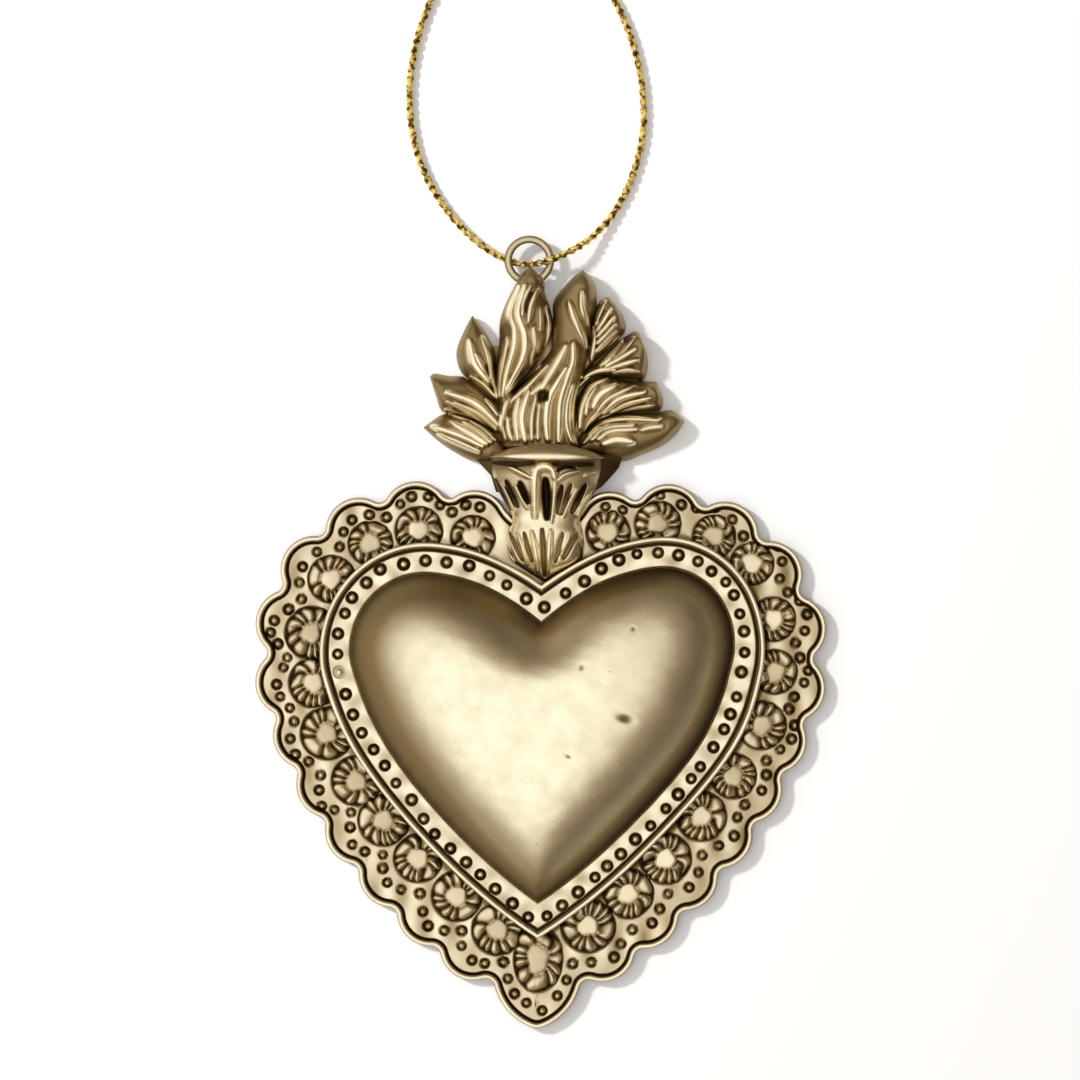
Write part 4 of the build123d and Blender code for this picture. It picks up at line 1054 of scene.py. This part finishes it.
# The hanging ring: a closed loop of round gold wire behind the tip of the flame.
# A dab of solder holds it from behind; its upper side is painted bright as a highlight and its sides
# dark as painted shade.
RING_CENTRE = (-2.1, 50.4, 1.9)
RING_RADIUS = 2.8
RING_WIRE_RADIUS = 0.5
ring_around = around(96)[:, None]
ring_turn = around(24)
ring_reach = RING_RADIUS + RING_WIRE_RADIUS * np.cos(ring_turn)
ring_x = RING_CENTRE[0] + ring_reach * np.cos(ring_around)
ring_y = RING_CENTRE[1] + ring_reach * np.sin(ring_around)
ring_z = np.broadcast_to(RING_CENTRE[2] + RING_WIRE_RADIUS * np.sin(ring_turn), ring_x.shape)
ring_points = np.stack([ring_x, ring_y, ring_z], axis=-1)
ring_painted_shade = np.clip(1.25 - np.sin(ring_turn), 0.3, 1)
ring_piece = shells("wire_ring", ring_points[None], True, ring_painted_shade, wire_gold, "ornament")
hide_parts("hanging_ring")


# The cord: two metallic yarns twisted together, threaded through the ring and tied above.
# It lies on the table, passes under the ring's left wire, rises and crosses over its right one.
CORD_LAY = 2.5
YARN_OFFSET = 0.22
YARN_RADIUS = 0.28
YARN_SIDES = 10
CORD_ROUTE = [
    (-1.8, 47.7, 1.1), (-5.3, 45.2, 0.55), (-9.3, 41.5, 0.55), (-12.8, 36.4, 0.55), (-15.1, 30.5, 0.55),
    (-16.3, 24.0, 0.55), (-16.0, 17.5, 0.55), (-14.3, 11.7, 0.55), (-11.3, 6.8, 0.55),
    (-7.5, 2.8, 0.55), (-4.3, 0.7, 0.55), (-1.8, -0.3, 0.6), (0.1, -0.5, 1.7), (1.9, -0.3, 3.0),
    (3.7, 0.3, 3.4), (5.9, 1.4, 2.8), (8.5, 3.2, 1.4), (11.3, 6.4, 0.6), (13.8, 11.5, 0.55),
    (15.2, 17.5, 0.55), (14.9, 23.8, 0.55), (13.3, 30.2, 0.55), (10.5, 36.0, 0.55), (7.0, 40.8, 0.55),
    (3.3, 44.7, 0.55), (-0.4, 47.7, 1.1),
]
cord_knots = np.array(CORD_ROUTE) + np.array([RING_CENTRE[0], RING_CENTRE[1], 0])
cord_curve = bpy.data.curves.new("cord line", "CURVE")
cord_curve.dimensions = "3D"
cord_curve.resolution_u = 24
cord_spline = cord_curve.splines.new("NURBS")
cord_spline.points.add(len(cord_knots) - 1)
cord_weights = np.ones(len(cord_knots))
cord_spline.points.foreach_set("co", np.column_stack([cord_knots * 0.001, cord_weights]).ravel())
cord_spline.order_u = 3
cord_spline.use_endpoint_u = True
cord_guide = bpy.data.objects.new("cord line", cord_curve)
cord_trace = bpy.data.meshes.new_from_object(cord_guide)
traced = np.empty(len(cord_trace.vertices) * 3)
cord_trace.vertices.foreach_get("co", traced)
traced = traced.reshape(-1, 3) * 1000
bpy.data.objects.remove(cord_guide)
bpy.data.meshes.remove(cord_trace)
bpy.data.curves.remove(cord_curve)
trace_run = np.concatenate([[0], np.cumsum(np.linalg.norm(np.diff(traced, axis=0), axis=1))])
cord_run = np.linspace(0, trace_run[-1], 1500)
cord_line = np.stack([np.interp(cord_run, trace_run, traced[:, axis]) for axis in range(3)], axis=-1)


def twisted(line):
    """Two yarns wound round a line that never stands upright: tubes whose middles keep a distance
    from the line and turn once for each lay, one opposite the other."""
    run = np.concatenate([[0], np.cumsum(np.linalg.norm(np.diff(line, axis=0), axis=1))])
    along = np.gradient(line, axis=0)
    along /= np.linalg.norm(along, axis=1, keepdims=True)
    side = np.cross([0, 0, 1], along)
    side /= np.linalg.norm(side, axis=1, keepdims=True)
    up = np.cross(along, side)
    phase = (2 * np.pi * run / CORD_LAY + np.array([[0], [np.pi]]))[..., None]
    middle = line + YARN_OFFSET * (np.cos(phase) * side + np.sin(phase) * up)
    turn = around(YARN_SIDES)[:, None]
    spread = np.cos(turn) * side[:, None] + np.sin(turn) * up[:, None]
    return middle[:, :, None] + YARN_RADIUS * spread


cord_gold, cord_tree, cord_shader = shaded("metallic cord", {"Metallic": 0.9, "Roughness": 0.3})
cord_where = added(cord_tree, "TexCoord")
cord_flecks = added(cord_tree, "TexNoise", {"Scale": 1400, "Detail": 2})
cord_tones = added(cord_tree, "ValToRGB")
cord_steps = cord_tones.color_ramp.elements
cord_steps[0].position = 0.42
cord_steps[0].color = (0.13, 0.07, 0.012, 1)
cord_steps[1].position = 0.54
cord_steps[1].color = (1.0, 0.76, 0.22, 1)
wired(
    cord_tree,
    (cord_where, "Object", cord_flecks, "Vector"),
    (cord_flecks, "Fac", cord_tones, "Fac"),
    (cord_tones, "Color", cord_shader, "Base Color"),
)
cord = shells("twisted_cord", twisted(cord_line), False, 0.0, cord_gold, "cord_loop")
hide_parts("cord")


# The knot: both ends of the cord, of the same metallic yarn, tied together in an overhand knot.
# Two short tails are left over beyond it and splay apart.
KNOT_CENTRE = np.array([-3.2, 98.6, 1.3])
KNOT_SIZE = 0.42
KNOT_CORD_RADIUS = 0.48
TAIL_RUN = 4.8
knot_turn = around(120)
knot_line = np.stack(
    [
        np.sin(knot_turn) + 2 * np.sin(2 * knot_turn),
        np.cos(knot_turn) - 2 * np.cos(2 * knot_turn),
        -1.2 * np.sin(3 * knot_turn),
    ],
    axis=-1,
) * KNOT_SIZE
knot_along = np.roll(knot_line, -1, axis=0) - np.roll(knot_line, 1, axis=0)
knot_along /= np.linalg.norm(knot_along, axis=1, keepdims=True)
knot_side = np.cross(knot_along, knot_line + [0, 0, 3])
knot_side /= np.linalg.norm(knot_side, axis=1, keepdims=True)
knot_up = np.cross(knot_along, knot_side)
knot_round = around(12)[:, None]
knot_spread = np.cos(knot_round) * knot_side[:, None] + np.sin(knot_round) * knot_up[:, None]
knot_points = KNOT_CENTRE + knot_line[:, None] + KNOT_CORD_RADIUS * knot_spread
knot = shells("tied_knot", knot_points[None], True, 0.0, cord_gold, "cord_loop")
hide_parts("cord_knot")
tail_run = np.linspace(0, TAIL_RUN, 40)[:, None]
tail_ways = np.array([(-0.42, 0.9, -0.16), (0.42, 0.9, -0.16)])
tails = np.concatenate([twisted(KNOT_CENTRE + tail_run * way) for way in tail_ways])
tail_piece = shells("cord_tails", tails, False, 0.0, cord_gold, "cord_loop")
